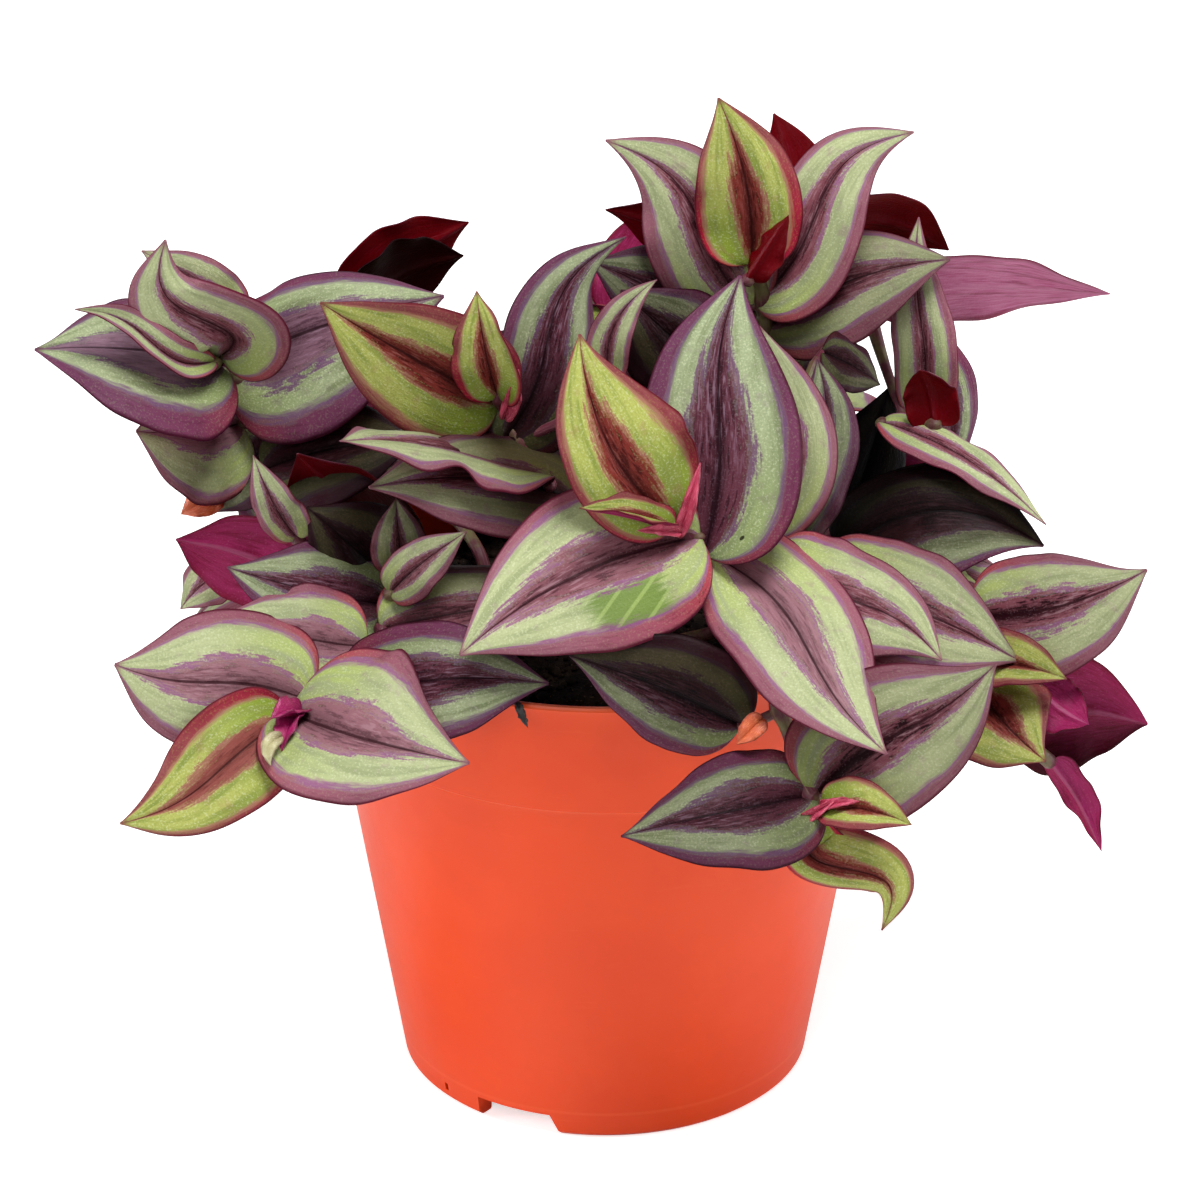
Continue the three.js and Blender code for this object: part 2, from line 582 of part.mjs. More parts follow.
function clearOf(solid, skipShoot) {
  const box = solid.boundingBox();
  let left = solid;
  for (const other of placed) {
    if (other.shoot === skipShoot || !boxesMeet(box, other.box)) continue;
    left = left.subtract(other.grown);
    if (left.intersect(other.solid).volume() > touching) left = left.subtract(other.solid);
  }
  return left;
}

function bodiesOf(solid) {
  return solid.simplify(smoothing).decompose().sort((a, b) => b.volume() - a.volume());
}

function largestBody(solid) {
  return bodiesOf(solid)[0];
}

// the largest body of a cut solid that still starts at its base
function bodyAtBase(solid, base) {
  const start = knob(base, baseProbe);
  const bodies = bodiesOf(solid);
  return bodies.find((body) => body.minGap(start, 2 * baseNearness) < baseNearness) ?? bodies[0];
}

const group = new THREE.Group();
group.name = "potted_tradescantia";

function addPiece(name, solid, colour, rough) {
  const material = new THREE.MeshStandardMaterial({ color: colour, roughness: rough, metalness: 0 });
  const mesh = new THREE.Mesh(geometryFrom(solid), material);
  mesh.name = name;
  group.add(mesh);
}

const pot = makePot();
addPiece("pot", pot, colours.pot, roughness.pot);
place("", pot, pot);

const shoots = Object.keys(stems);
const stemSolids = {};
for (const shoot of shoots) {
  stemSolids[shoot] = bodyAtBase(clearOf(makeStem(shoot, 0), shoot), point(stems[shoot][rootKnot]));
  place(shoot, makeStem(shoot, gap), stemSolids[shoot]);
}

let soil = makeSoil();
for (const shoot of shoots) {
  soil = soil.subtract(makeStem(shoot, gap));
}
addPiece("soil", largestBody(soil), colours.soil, roughness.soil);
place("", soil, soil);

const ownLeaves = leaves.filter((row) => row.own);
for (const row of ownLeaves) {
  const solid = bodyAtBase(clearOf(leafSolid(row, 0), ""), point(row.base));
  addPiece(`leaf_${row.shoot}_${row.number}`, solid, colours[row.tone], roughness.leaf);
  place("leaf", leafSolid(row, gap), solid);
}

for (const row of leaves.filter((each) => !each.own)) {
  const cut = bodyAtBase(clearOf(leafSolid(row, 0), row.shoot), point(row.base));
  if (stemSolids[row.shoot].intersect(cut).volume() > 0) {
    stemSolids[row.shoot] = stemSolids[row.shoot].add(cut);
    place(row.shoot, leafSolid(row, gap), cut);
  }
}

for (const shoot of shoots) {
  addPiece(`stem_${shoot}`, largestBody(stemSolids[shoot]), colours.stem, roughness.stem);
}

export default group;
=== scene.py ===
import math

import bpy
import numpy as np
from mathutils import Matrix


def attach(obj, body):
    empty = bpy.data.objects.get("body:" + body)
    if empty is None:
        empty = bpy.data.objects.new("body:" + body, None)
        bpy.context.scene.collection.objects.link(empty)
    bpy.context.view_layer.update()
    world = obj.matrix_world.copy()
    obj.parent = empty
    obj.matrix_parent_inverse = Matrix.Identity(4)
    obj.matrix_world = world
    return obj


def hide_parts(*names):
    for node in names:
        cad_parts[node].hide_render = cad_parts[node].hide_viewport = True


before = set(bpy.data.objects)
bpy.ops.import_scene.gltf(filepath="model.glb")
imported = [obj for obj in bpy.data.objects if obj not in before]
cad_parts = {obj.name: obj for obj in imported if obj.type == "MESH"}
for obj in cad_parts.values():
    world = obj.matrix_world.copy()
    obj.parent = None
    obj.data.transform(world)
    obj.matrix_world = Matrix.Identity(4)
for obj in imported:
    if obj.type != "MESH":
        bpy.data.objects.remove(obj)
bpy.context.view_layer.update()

print("frame loaded:", len(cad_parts), "nodes")

# Every point below is in millimetres from the middle of the pot's foot.
# The whole plant stands this far from the origin of the frame.
potAxis = np.array([2.0, -2.0, 0.0])
millimetre = 0.001


def unit(vectors):
    # each vector divided by its own length
    return vectors / np.maximum(np.linalg.norm(vectors, axis=-1, keepdims=True), 1e-12)


def smoothStep(low, high, values):
    # 0 below low and 1 above high, and between them three times the square of the way there
    # less twice its cube
    part = np.clip((values - low) / (high - low), 0, 1)
    return part * part * (3 - 2 * part)


def paint(red, green, blue):
    # a screen colour from 0 to 255 turned into the linear one that shaders work in
    screen = np.array([red, green, blue]) / 255
    linear = np.where(screen <= 0.04045, screen / 12.92, ((screen + 0.055) / 1.055) ** 2.4)
    return (*linear.tolist(), 1.0)


def makePiece(name, points, faces, materials, uv=None, values=None, slots=None, sharp=None):
    # points in millimetres; faces is a list of arrays of corner numbers, one array for each
    # number of corners; slots gives each face's material
    mesh = bpy.data.meshes.new(name)
    placed = (points + potAxis) * millimetre
    mesh.from_pydata(placed.tolist(), [], [face for block in faces for face in block.tolist()])
    for material in materials:
        mesh.materials.append(material)
    if slots is not None:
        mesh.polygons.foreach_set("material_index", np.asarray(slots, dtype=np.int32))
    corners = np.empty(len(mesh.loops), dtype=np.int32)
    mesh.loops.foreach_get("vertex_index", corners)
    if uv is not None:
        layer = mesh.uv_layers.new(name="surfaceMap")
        layer.data.foreach_set("uv", uv[corners].astype(np.float32).ravel())
    for label, numbers in (values or {}).items():
        layer = mesh.attributes.new(label, "FLOAT", "POINT")
        layer.data.foreach_set("value", np.asarray(numbers, dtype=np.float32))
    mesh.polygons.foreach_set("use_smooth", np.ones(len(mesh.polygons), dtype=bool))
    mesh.validate()
    mesh.update()
    if sharp is not None:
        mesh.set_sharp_from_angle(angle=math.radians(sharp))
    piece = bpy.data.objects.new(name, mesh)
    bpy.context.scene.collection.objects.link(piece)
    return piece


def gridFaces(rows, columns, closed=False):
    # corner numbers of the cells of a grid of points, row after row; closed joins the last
    # column to the first
    across = columns if closed else columns - 1
    row, column = np.meshgrid(np.arange(rows - 1), np.arange(across), indexing="ij")
    following = (column + 1) % columns
    corners = [row * columns + column, row * columns + following,
               (row + 1) * columns + following, (row + 1) * columns + column]
    return np.stack(corners, axis=-1).reshape(-1, 4)


def endFaces(rows, columns):
    # triangles that close a tube of rings: from the first ring to a point numbered just after
    # the grid, and from the last ring to the point after that
    column = np.arange(columns)
    following = (column + 1) % columns
    count, last = rows * columns, (rows - 1) * columns
    return np.concatenate([
        np.stack([np.full(columns, count), following, column], axis=1),
        np.stack([np.full(columns, count + 1), last + column, last + following], axis=1)])


# camera and light

cameraLooks = {
    "target": (-1.1, 0.0, 102.3),  # the point in the middle of the picture
    "distance": 1000.0,
    "elevation": 25.4,
    "lens": 146.7, "sensor": 36,
}

lightLooks = {
    "top": {"place": (160, -330, 1120), "size": 460, "power": 13.5},
    "front": {"place": (-350, -1050, 820), "size": 700, "power": 5.4},
    "left": {"place": (-1150, 60, 300), "size": 600, "power": 11},
    "right": {"place": (1150, 60, 240), "size": 600, "power": 9.5},
    "back": {"place": (150, 900, 620), "size": 700, "power": 2},
}

surroundingLight = 0.02


def aim(thing, place, target):
    # a camera or lamp stands at place and looks at target: it is tipped up from straight down
    # by that line's angle, and then turned by its heading
    thing.location = (np.array(place) + potAxis) * millimetre
    away = np.array(place) - np.array(target)
    tip = math.atan2(math.hypot(away[0], away[1]), away[2])
    thing.rotation_euler = (tip, 0, math.atan2(away[0], -away[1]))


def makeCamera():
    # the camera stands in front of the target, on a line tilted up by the elevation
    data = bpy.data.cameras.new("camera")
    data.lens = cameraLooks["lens"]
    data.sensor_width = cameraLooks["sensor"]
    data.clip_start = 0.05
    data.clip_end = 40
    camera = bpy.data.objects.new("camera", data)
    bpy.context.scene.collection.objects.link(camera)
    tilt = math.radians(cameraLooks["elevation"])
    back = np.array([0, -math.cos(tilt), math.sin(tilt)])
    target = np.array(cameraLooks["target"])
    aim(camera, target + back * cameraLooks["distance"], target)
    bpy.context.scene.camera = camera


def makeLights():
    # round soft lamps aimed at the middle of the plant, and a faint even light from all round
    for name, looks in lightLooks.items():
        data = bpy.data.lights.new(name + "Light", "AREA")
        data.shape = "DISK"
        data.size = looks["size"] * millimetre
        data.energy = looks["power"]
        light = bpy.data.objects.new(name + "Light", data)
        bpy.context.scene.collection.objects.link(light)
        aim(light, looks["place"], (0, 0, 100))
    world = bpy.data.worlds.new("surroundings")
    world.use_nodes = True
    bpy.context.scene.world = world
    background = world.node_tree.nodes["Background"]
    background.inputs["Color"].default_value = (1, 1, 1, 1)
    background.inputs["Strength"].default_value = surroundingLight
    bpy.context.scene.view_settings.view_transform = "Standard"


# helpers for materials


class shaderValue:
    # a number or colour in a node tree; arithmetic with it makes the tree's Math nodes
    def __init__(self, tree, socket):
        self.tree = tree
        self.socket = socket

    def math(self, operation, *values):
        inputs = dict(enumerate(values))
        return put(self.tree, "ShaderNodeMath", inputs, operation=operation)

    def __add__(self, other):
        return self.math("ADD", self, other)

    def __sub__(self, other):
        return self.math("SUBTRACT", self, other)

    def __rsub__(self, other):
        return self.math("SUBTRACT", other, self)

    def __mul__(self, other):
        return self.math("MULTIPLY", self, other)

    def __abs__(self):
        return self.math("ABSOLUTE", self)

    def orMore(self, other):
        return self.math("MAXIMUM", self, other)

    def ramp(self, low, high):
        # 0 at low and 1 at high, eased at both ends
        inputs = {"Value": self, "From Min": low, "From Max": high}
        return put(self.tree, "ShaderNodeMapRange", inputs, interpolation_type="SMOOTHSTEP")

    def blend(self, first, second, way="MIX"):
        # this value is the mask: the first colour where it is 0 and the second where it is 1
        inputs = {0: self, 6: first, 7: second}
        return put(self.tree, "ShaderNodeMix", inputs, output=2, data_type="RGBA",
                   blend_type=way, clamp_factor=True)

    def split(self):
        made = self.tree.nodes.new("ShaderNodeSeparateXYZ")
        join(self.tree, self, made.inputs[0])
        return [shaderValue(self.tree, socket) for socket in made.outputs]


def join(tree, value, socket):
    # links a shader value to the socket, or sets the socket to a plain number or colour
    if isinstance(value, shaderValue):
        tree.links.new(value.socket, socket)
    else:
        socket.default_value = value


def put(tree, kind, inputs=None, output=0, **settings):
    # a new node with its inputs joined; what comes back is one of its outputs
    made = tree.nodes.new(kind)
    for name, value in settings.items():
        setattr(made, name, value)
    for name, value in (inputs or {}).items():
        join(tree, value, made.inputs[name])
    return shaderValue(tree, made.outputs[output])


def objectPlace(tree):
    return put(tree, "ShaderNodeTexCoord", output="Object")


def attribute(tree, name):
    return put(tree, "ShaderNodeAttribute", output="Fac", attribute_name=name)


def vector(tree, *parts):
    return put(tree, "ShaderNodeCombineXYZ", dict(enumerate(parts)))


def noise(place, scale, detail=2.0, roughness=0.5):
    inputs = {"Vector": place, "Scale": scale, "Detail": detail, "Roughness": roughness}
    return put(place.tree, "ShaderNodeTexNoise", inputs)


def bump(height, strength, distance=0.0003):
    inputs = {"Height": height, "Strength": strength, "Distance": distance}
    return put(height.tree, "ShaderNodeBump", inputs)


def startGroup(name, inputs):
    # a group with these inputs, each with the number or colour that it has by itself
    tree = bpy.data.node_groups.new(name, "ShaderNodeTree")
    for label, value in inputs.items():
        kind = "NodeSocketColor" if isinstance(value, tuple) else "NodeSocketFloat"
        socket = tree.interface.new_socket(name=label, in_out="INPUT", socket_type=kind)
        socket.default_value = value
    entry = tree.nodes.new("NodeGroupInput")
    return tree, {socket.name: shaderValue(tree, socket) for socket in entry.outputs}


def endGroup(tree, results):
    # gives out the results, of which only the one named Colour isn't a number
    for label in results:
        kind = "NodeSocketColor" if label == "Colour" else "NodeSocketFloat"
        tree.interface.new_socket(name=label, in_out="OUTPUT", socket_type=kind)
    leave = tree.nodes.new("NodeGroupOutput")
    for label, value in results.items():
        join(tree, value, leave.inputs[label])
    return tree


def useGroup(tree, group, values):
    # places the group, joins those of the values that it has an input for, and gives its
    # outputs by name
    made = tree.nodes.new("ShaderNodeGroup")
    made.node_tree = group
    for socket in made.inputs:
        if socket.name in values:
            join(tree, values[socket.name], socket)
    return {socket.name: shaderValue(tree, socket) for socket in made.outputs}


def newMaterial(name):
    material = bpy.data.materials.new(name)
    material.use_nodes = True
    return material, material.node_tree


def finishMaterial(material, values):
    # joins the values to the sockets of the material's own shader
    shader = material.node_tree.nodes["Principled BSDF"]
    for name, value in values.items():
        join(material.node_tree, value, shader.inputs[name])
    return material


# effects that several materials share


def makeGrainGroup():
    # fine sparkling dots and soft blotches in the surface, at real scale
    tree, given = startGroup("fineGrain", {"Dots per millimetre": 1.8,
                                           "Blotches per millimetre": 0.25})
    place = objectPlace(tree)
    results = {}
    for label, detail in (("Dots", 1.0), ("Blotches", 3.0)):
        size = given[label + " per millimetre"] * 1000.0
        grown = put(tree, "ShaderNodeVectorMath", {0: place, "Scale": size}, operation="SCALE")
        results[label] = noise(grown, 1.0, detail, 0.6)
    return endGroup(tree, results)


def makeLeafMapGroup():
    # where a point is on its leaf: across from -1 to 1, its distance from the middle line,
    # along from 0 at the base to 1 at the tip, and two streaky fields that follow the veins
    tree, given = startGroup("leafMap", {"Streaks across": 6.0, "Fine streaks across": 26.0})
    flat = put(tree, "ShaderNodeUVMap", uv_map="surfaceMap").split()
    seed = attribute(tree, "leafSeed")
    across, along = flat[0] * 2.0 - 1.0, flat[1]
    shifted = seed * 37.0
    wide = vector(tree, across * given["Streaks across"], along * 3.0, shifted)
    fine = vector(tree, across * given["Fine streaks across"], along * 11.0, shifted)
    return endGroup(tree, {
        "Across": across, "Off middle": abs(across), "Along": along, "Seed": seed,
        "Streaks": noise(wide, 1.0, 3.0, 0.6), "Fine streaks": noise(fine, 1.0, 2.0, 0.6)})


leafLooks = {
    "young": {
        "Band": (161, 166, 87), "Band at base": (124, 144, 46), "Band dull": (124, 136, 62),
        "Middle": (112, 42, 36), "Middle dark": (44, 8, 8), "Sheen": (142, 84, 78),
        "Fringe": (146, 76, 84), "Margin": (122, 62, 64), "Margin at base": (134, 40, 58),
        "Rim": (92, 24, 36), "Flush": (150, 18, 48),
        "Middle width": 0.28, "Middle at base": 0.30, "Middle at tip": 0.06, "Margin start": 0.84,
        "roughness": 0.42,
    },
    "middle": {
        "Band": (167, 174, 131), "Band at base": (152, 166, 93), "Band dull": (141, 150, 109),
        "Middle": (116, 64, 74), "Middle dark": (36, 6, 14), "Sheen": (160, 124, 132),
        "Fringe": (128, 46, 120), "Margin": (134, 84, 98), "Margin at base": (150, 72, 76),
        "Rim": (86, 22, 42), "Flush": (146, 24, 52),
        "Middle width": 0.28, "Middle at base": 0.50, "Middle at tip": 0.20, "Margin start": 0.82,
        "roughness": 0.44,
    },
    "old": {
        "Band": (147, 157, 121), "Band at base": (126, 140, 88), "Band dull": (112, 122, 86),
        "Middle": (84, 42, 54), "Middle dark": (26, 4, 12), "Sheen": (138, 110, 126),
        "Fringe": (92, 30, 96), "Margin": (98, 52, 78), "Margin at base": (108, 46, 60),
        "Rim": (62, 14, 34), "Flush": (124, 14, 44),
        "Middle width": 0.36, "Middle at base": 0.60, "Middle at tip": 0.24, "Margin start": 0.78,
        "roughness": 0.46,
    },
}

# speckle is the pale colour of specks that are partly the skin's own pale cells and partly painted glints;
# shadow and deepShadow are the tones of painted shade
markLooks = {
    "fresh": (90, 116, 42), "freshLine": (186, 206, 122), "speckle": (232, 236, 204),
    "spot": (20, 8, 8), "shadow": (74, 46, 38), "deepShadow": (44, 26, 20),
}


def stripeColours(looks):
    # the stripe group's own inputs: its colours for shaders, and its widths
    return {name: paint(*value) if isinstance(value, tuple) else value
            for name, value in looks.items() if name != "roughness"}


def withPaintedShade(shade, colour):
    # painted shade: from 0 to 1 the leaf turns to a warm dark shadow tone, and from 1 to 2 nearly to black
    colour = (shade.ramp(0.0, 1.0) * 0.94).blend(colour, paint(*markLooks["shadow"]), "MULTIPLY")
    return (shade.ramp(1.0, 2.0) * 0.94).blend(colour, paint(*markLooks["deepShadow"]), "MULTIPLY")


def makeStripeGroup():
    # the dark middle band, the pale bands beside it and the coloured margins of an upper side, with painted
    # shade over all
    tree, given = startGroup("leafStripes", {
        "Across": 0.0, "Along": 0.0, "Seed": 0.5, "Streaks": 0.5, "Fine streaks": 0.5,
        "Dots": 0.5, "Blotches": 0.5, "Shade": 0.5, "Patch": 0.0, "Spot": 0.0,
        "Reddening": 0.0, "Fading": 0.0, **stripeColours(leafLooks["middle"])})
    across, along, fading = given["Across"], given["Along"], given["Fading"]
    streaks, fineStreaks, dots = given["Streaks"], given["Fine streaks"], given["Dots"]
    off = abs(across)
    drift = (streaks - 0.5) * 0.34
    ragged = (fineStreaks - 0.5) * 0.30
    speckle = (dots - 0.5) * 0.10

    # the middle band is a spindle: narrower at the base than a third of the way up, and then
    # narrower again towards the tip
    atBase, atTip = given["Middle at base"], given["Middle at tip"]
    swell = along.ramp(-0.05, 0.34) * (1.0 - atBase) + atBase
    narrow = along.ramp(1.0, 0.34) * (1.0 - atTip) + atTip
    pastMiddle = off + drift + ragged + speckle - given["Middle width"] * swell * narrow
    inMiddle = pastMiddle.ramp(0.05, -0.05)
    nearMiddle = abs(pastMiddle - 0.03).ramp(0.09, 0.0)

    # one margin is wider than the other
    skew = (given["Seed"] - 0.5) * across * 0.20
    marginEdge = given["Margin start"] - along * 0.05 + skew
    pastMargin = off - drift * 0.55 - ragged * 0.45 + speckle * 0.5 - marginEdge
    inMargin = pastMargin.ramp(-0.03, 0.04)
    nearMargin = abs(pastMargin + 0.02).ramp(0.09, 0.0)
    edge = inMargin.orMore(along.ramp(0.94, 1.0))

    # pale specks on the bands, the middle and the margins: partly the skin's own pale cells and partly
    # painted glints
    lighter = dots.ramp(0.52, 0.72)
    band = along.ramp(0.05, 0.55).blend(given["Band at base"], given["Band"])
    band = streaks.ramp(0.42, 0.68).blend(band, given["Band dull"])
    band = (lighter * 0.20).blend(band, paint(*markLooks["speckle"]))
    band = (dots.ramp(0.48, 0.30) * 0.30).blend(band, given["Band dull"])
    band = (given["Blotches"].ramp(0.56, 0.72) * 0.22).blend(band, given["Fringe"])
    band = (fineStreaks.ramp(0.60, 0.76) * 0.30).blend(band, given["Band dull"])

    # the leaf that has a patch shows fresh green with pale slanting lines on one half
    sideways, lengthways = across + ragged, ragged * 0.5 + along
    patch = (sideways.ramp(-0.26, -0.36) * sideways.ramp(-0.84, -0.74)
             * lengthways.ramp(0.16, 0.24) * lengthways.ramp(0.56, 0.44) * given["Patch"])
    slant = across * 24.0 + along * 46.0
    lines = slant.math("SINE", slant).ramp(0.72, 0.96)
    fresh = (lines * 0.30).blend(paint(*markLooks["fresh"]), paint(*markLooks["freshLine"]))
    band = (patch * 0.82).blend(band, fresh)

    # ink-dark streaks lie beside the middle line, most of them on the lower half, and a painted sheen of
    # paler streaks on the upper half; fading thins the streaks and pales the band
    core = off.ramp(0.17, 0.02) * along.ramp(0.92, 0.25)
    ink = fineStreaks.ramp(0.50, 0.64)
    kept = 1.0 - fading * 0.7
    paintedSheen = fineStreaks.ramp(0.46, 0.34) * along.ramp(0.15, 0.6)
    middle = (fading * 0.7).blend(given["Middle"], given["Sheen"])
    middle = (core * 0.75 * kept).blend(middle, given["Middle dark"])
    middle = (ink * 0.72 * kept).blend(middle, given["Middle dark"])
    middle = (paintedSheen * 0.55).blend(middle, given["Sheen"])
    middle = (lighter * 0.16).blend(middle, given["Sheen"])

    margin = along.ramp(0.28, 0.05).blend(given["Margin"], given["Margin at base"])
    margin = (given["Reddening"] * along.ramp(0.75, 0.15)).blend(margin, given["Flush"])
    margin = (ink * 0.30).blend(margin, given["Rim"])
    margin = (lighter * 0.14).blend(margin, given["Band"])

    colour = (nearMiddle * 0.80).blend(band, given["Fringe"])
    colour = inMiddle.blend(colour, middle)
    colour = (nearMargin * 0.80).blend(colour, given["Fringe"])
    colour = edge.blend(colour, margin)
    colour = off.ramp(0.945, 0.99).blend(colour, given["Rim"])
    colour = (off.ramp(0.03, 0.012) * 0.8).blend(colour, given["Middle dark"])

    # a short crack at the border of the leaf that has the patch, and a round dark spot near
    # the base of the leaf that has one
    crack = (abs(lengthways - 0.10).ramp(0.006, 0.001) * across.ramp(-0.72, -0.80) * 0.6
             * given["Patch"])
    spotAcross, spotAlong = (across - 0.56) * 24.0, (along - 0.11) * 80.0
    spotDistance = spotAcross.math("POWER", spotAcross * spotAcross + spotAlong * spotAlong, 0.5)
    spot = spotDistance.ramp(0.8, 0.5) * given["Spot"]
    colour = (crack.orMore(spot) * 0.9).blend(colour, paint(*markLooks["spot"]))
    return endGroup(tree, {"Colour": withPaintedShade(given["Shade"], colour),
                           "Pale": (1.0 - inMiddle) * (1.0 - edge)})


def makeVeinGroup():
    # the height of the lengthwise veins and the grain of the leaf skin
    tree, given = startGroup("leafVeins", {"Fine streaks": 0.5, "Dots": 0.5, "Off middle": 0.0})
    groove = given["Off middle"].ramp(0.0, 0.05) * 0.5
    return endGroup(tree, {"Height": given["Fine streaks"] * 0.75 + given["Dots"] * 0.55 + groove})


grainGroup = makeGrainGroup()
leafMapGroup = makeLeafMapGroup()
stripeGroup = makeStripeGroup()
veinGroup = makeVeinGroup()


# leaf materials

leafGloss = 0.07

undersideLooks = {
    "silver": (202, 128, 162), "bright": (166, 48, 104), "deep": (100, 0, 8),
    "line": (206, 140, 172), "roughness": 0.42,
}


def leafFields(tree):
    return {**useGroup(tree, leafMapGroup, {}),
            **useGroup(tree, grainGroup, {"Dots per millimetre": 2.4, "Blotches per millimetre": 0.3})}


def makeLeafMaterial(tone):
    material, tree = newMaterial(tone + "LeafTop")
    fields = leafFields(tree)
    marks = {"Shade": "leafShade", "Patch": "leafPatch", "Spot": "leafSpot",
             "Reddening": "leafFlush", "Fading": "leafFade"}
    stripes = useGroup(tree, stripeGroup, {
        **fields, **stripeColours(leafLooks[tone]),
        **{label: attribute(tree, name) for label, name in marks.items()}})
    veins = useGroup(tree, veinGroup, fields)
    rough = fields["Dots"] * 0.22 + (leafLooks[tone]["roughness"] - 0.08) - stripes["Pale"] * 0.04
    return finishMaterial(material, {
        "Base Color": stripes["Colour"], "Roughness": rough, "Specular IOR Level": leafGloss,
        "Normal": bump(veins["Height"], 0.55)})


def makeUndersideMaterial():
    # a painted silvery sheen, then lit magenta, then deep magenta by the leaf's depth value, which is
    # partly its own colour and partly painted shade; deeper in streaks and at the border, with a pale
    # middle line and pale dots, and painted shade over all
    silver, bright, deep, pale = [paint(*undersideLooks[name])
                                  for name in ("silver", "bright", "deep", "line")]
    material, tree = newMaterial("leafUnderside")
    fields = leafFields(tree)
    off, dots = fields["Off middle"], fields["Dots"]
    depth = attribute(tree, "undersideDepth") + (fields["Fine streaks"] * 0.5 - 0.25)
    colour = depth.ramp(0.0, 0.35).blend(silver, bright)
    colour = depth.ramp(0.3, 1.0).blend(colour, deep)
    colour = (fields["Streaks"].ramp(0.52, 0.66) * 0.45).blend(colour, deep)
    colour = (off.ramp(0.82, 1.0) * 0.6).blend(colour, deep)
    line = (off.ramp(0.07, 0.02) * 0.3).orMore(dots.ramp(0.55, 0.8) * 0.18)
    colour = (line * depth.ramp(1.1, 0.3)).blend(colour, pale)
    veins = useGroup(tree, veinGroup, fields)
    return finishMaterial(material, {
        "Base Color": withPaintedShade(attribute(tree, "leafShade"), colour),
        "Roughness": dots * 0.2 + (undersideLooks["roughness"] - 0.1),
        "Specular IOR Level": leafGloss, "Normal": bump(veins["Height"], 0.5)})


leafTops = {tone: makeLeafMaterial(tone) for tone in leafLooks}
leafUnderside = makeUndersideMaterial()
print("leaf materials made")


# pot

potShape = {
    "height": 107.5, "rimRadius": 60.0, "baseRadius": 42.5, "bandHeight": 25.0,
    "bandStep": 0.4, "wall": 1.3, "footHeight": 5.0, "baseThickness": 1.3, "footWidth": 2.4,
    "footSetback": 1.6, "footTaper": 0.2, "footRounding": 0.6, "notchOverrun": 4.0,
    "notchWidth": 16.4, "notchSlant": 2.2, "notchAngles": (-26.5, 93.5, 213.5),
    "slotInner": 28.0, "slotOuter": 35.0, "slotAngle": 22.0,
    "slitAngle": -50.0, "slitWidth": 1.0, "slitBottom": 2.6, "slitTop": 4.3,
    "sides": 288,
}

potLooks = {
    "plastic": (216, 66, 10), "worn": (232, 106, 62), "deep": (196, 46, 6),
    "roughness": 0.36, "gloss": 0.28, "footLineHeight": 6.2,
}


def potRadius(height):
    # the outside grows evenly from the foot to the rim
    spread = potShape["rimRadius"] - potShape["baseRadius"]
    return potShape["baseRadius"] + spread * height / potShape["height"]


def footInnerRadius():
    return potShape["baseRadius"] - potShape["footSetback"] - potShape["footWidth"]


def footDegrees(width):
    # the angle that a width takes up round the foot
    return math.degrees(width / potShape["baseRadius"])


def potProfile():
    # [radius, height] pairs from the middle of the underside, round the foot, up the wall,
    # over the rim and down inside to the middle of the floor
    shape = potShape
    top, wall, foot = shape["height"], shape["wall"], shape["footHeight"]
    band = top - shape["bandHeight"]
    floor = foot + shape["baseThickness"]
    inner, rounding = footInnerRadius(), shape["footRounding"]
    slotIn, slotOut = shape["slotInner"], shape["slotOuter"]
    low, high = shape["slitBottom"], shape["slitTop"]
    footSlope = shape["footTaper"] / (foot - rounding)
    under = [[slotIn * 0.4, foot], [slotIn, foot], [slotOut, foot], [inner - 0.9, foot],
             [inner - 0.3, foot - 0.15], [inner, foot - rounding]]
    footWall = [[inner + footSlope * (foot - rounding - z), z] for z in (high, low, 1.0)]
    ring = [[inner + shape["footTaper"], 0.3], [inner + 0.5, 0.0], [inner + shape["footWidth"], 0.0],
            [shape["baseRadius"] - 0.9, 0.12], [shape["baseRadius"] - 0.45, 0.5],
            [potRadius(1.1), 1.1], [potRadius(1.9), 1.9], [potRadius(low), low],
            [potRadius(high), high], [potRadius(foot), foot], [potRadius(foot + 0.7), foot + 0.7]]
    side = [[potRadius(z), z] for z in np.linspace(8, band - 1, 24)]
    step = [[potRadius(band) - 0.02, band - 0.1], [potRadius(band) + 0.15, band + 0.12],
            [potRadius(band) + shape["bandStep"], band + 0.35]]
    upper = [[potRadius(z) + shape["bandStep"] * (1 - (z - band) / (top - 1.2 - band)), z]
             for z in np.linspace(band + 1.2, top - 1.4, 8)]
    rim = shape["rimRadius"]
    lip = [[rim, top - 0.9], [rim - 0.1, top - 0.45], [rim - 0.35, top - 0.12], [rim - 0.8, top],
           [rim - 1.25, top - 0.1], [rim - 1.55, top - 0.45], [rim - 1.68, top - 1.2]]
    inside = [[potRadius(z) - wall, z] for z in np.linspace(band, floor + 2.2, 12)]
    end = potRadius(floor) - wall
    floorLine = [[end - 0.2, floor + 0.8], [end - 0.9, floor + 0.15], [slotOut, floor],
                 [slotIn, floor], [slotIn * 0.4, floor]]
    return np.array(under + footWall + ring + side + step + upper + lip + inside + floorLine)


def potAngles():
    # angles in degrees round the pot, counted from its front towards the right, even but for
    # close pairs at the sides of the notches, slots and slit
    shape = potShape
    even = np.arange(shape["sides"]) * 360.0 / shape["sides"] - 180
    half = footDegrees(shape["notchWidth"] / 2)
    special = []
    for notch in shape["notchAngles"]:
        for edge in (-half, half):
            special += [notch + edge - 0.04, notch + edge + 0.04]
        special += [notch - shape["slotAngle"] / 2, notch + shape["slotAngle"] / 2]
    slit = footDegrees(shape["slitWidth"] / 2)
    special += [shape["slitAngle"] - slit, shape["slitAngle"] + slit]
    special = (np.array(special) + 180) % 360 - 180
    clear = np.abs((even[:, None] - special[None, :] + 180) % 360 - 180).min(axis=1) > 0.3
    return np.sort(np.concatenate([even[clear], special]))


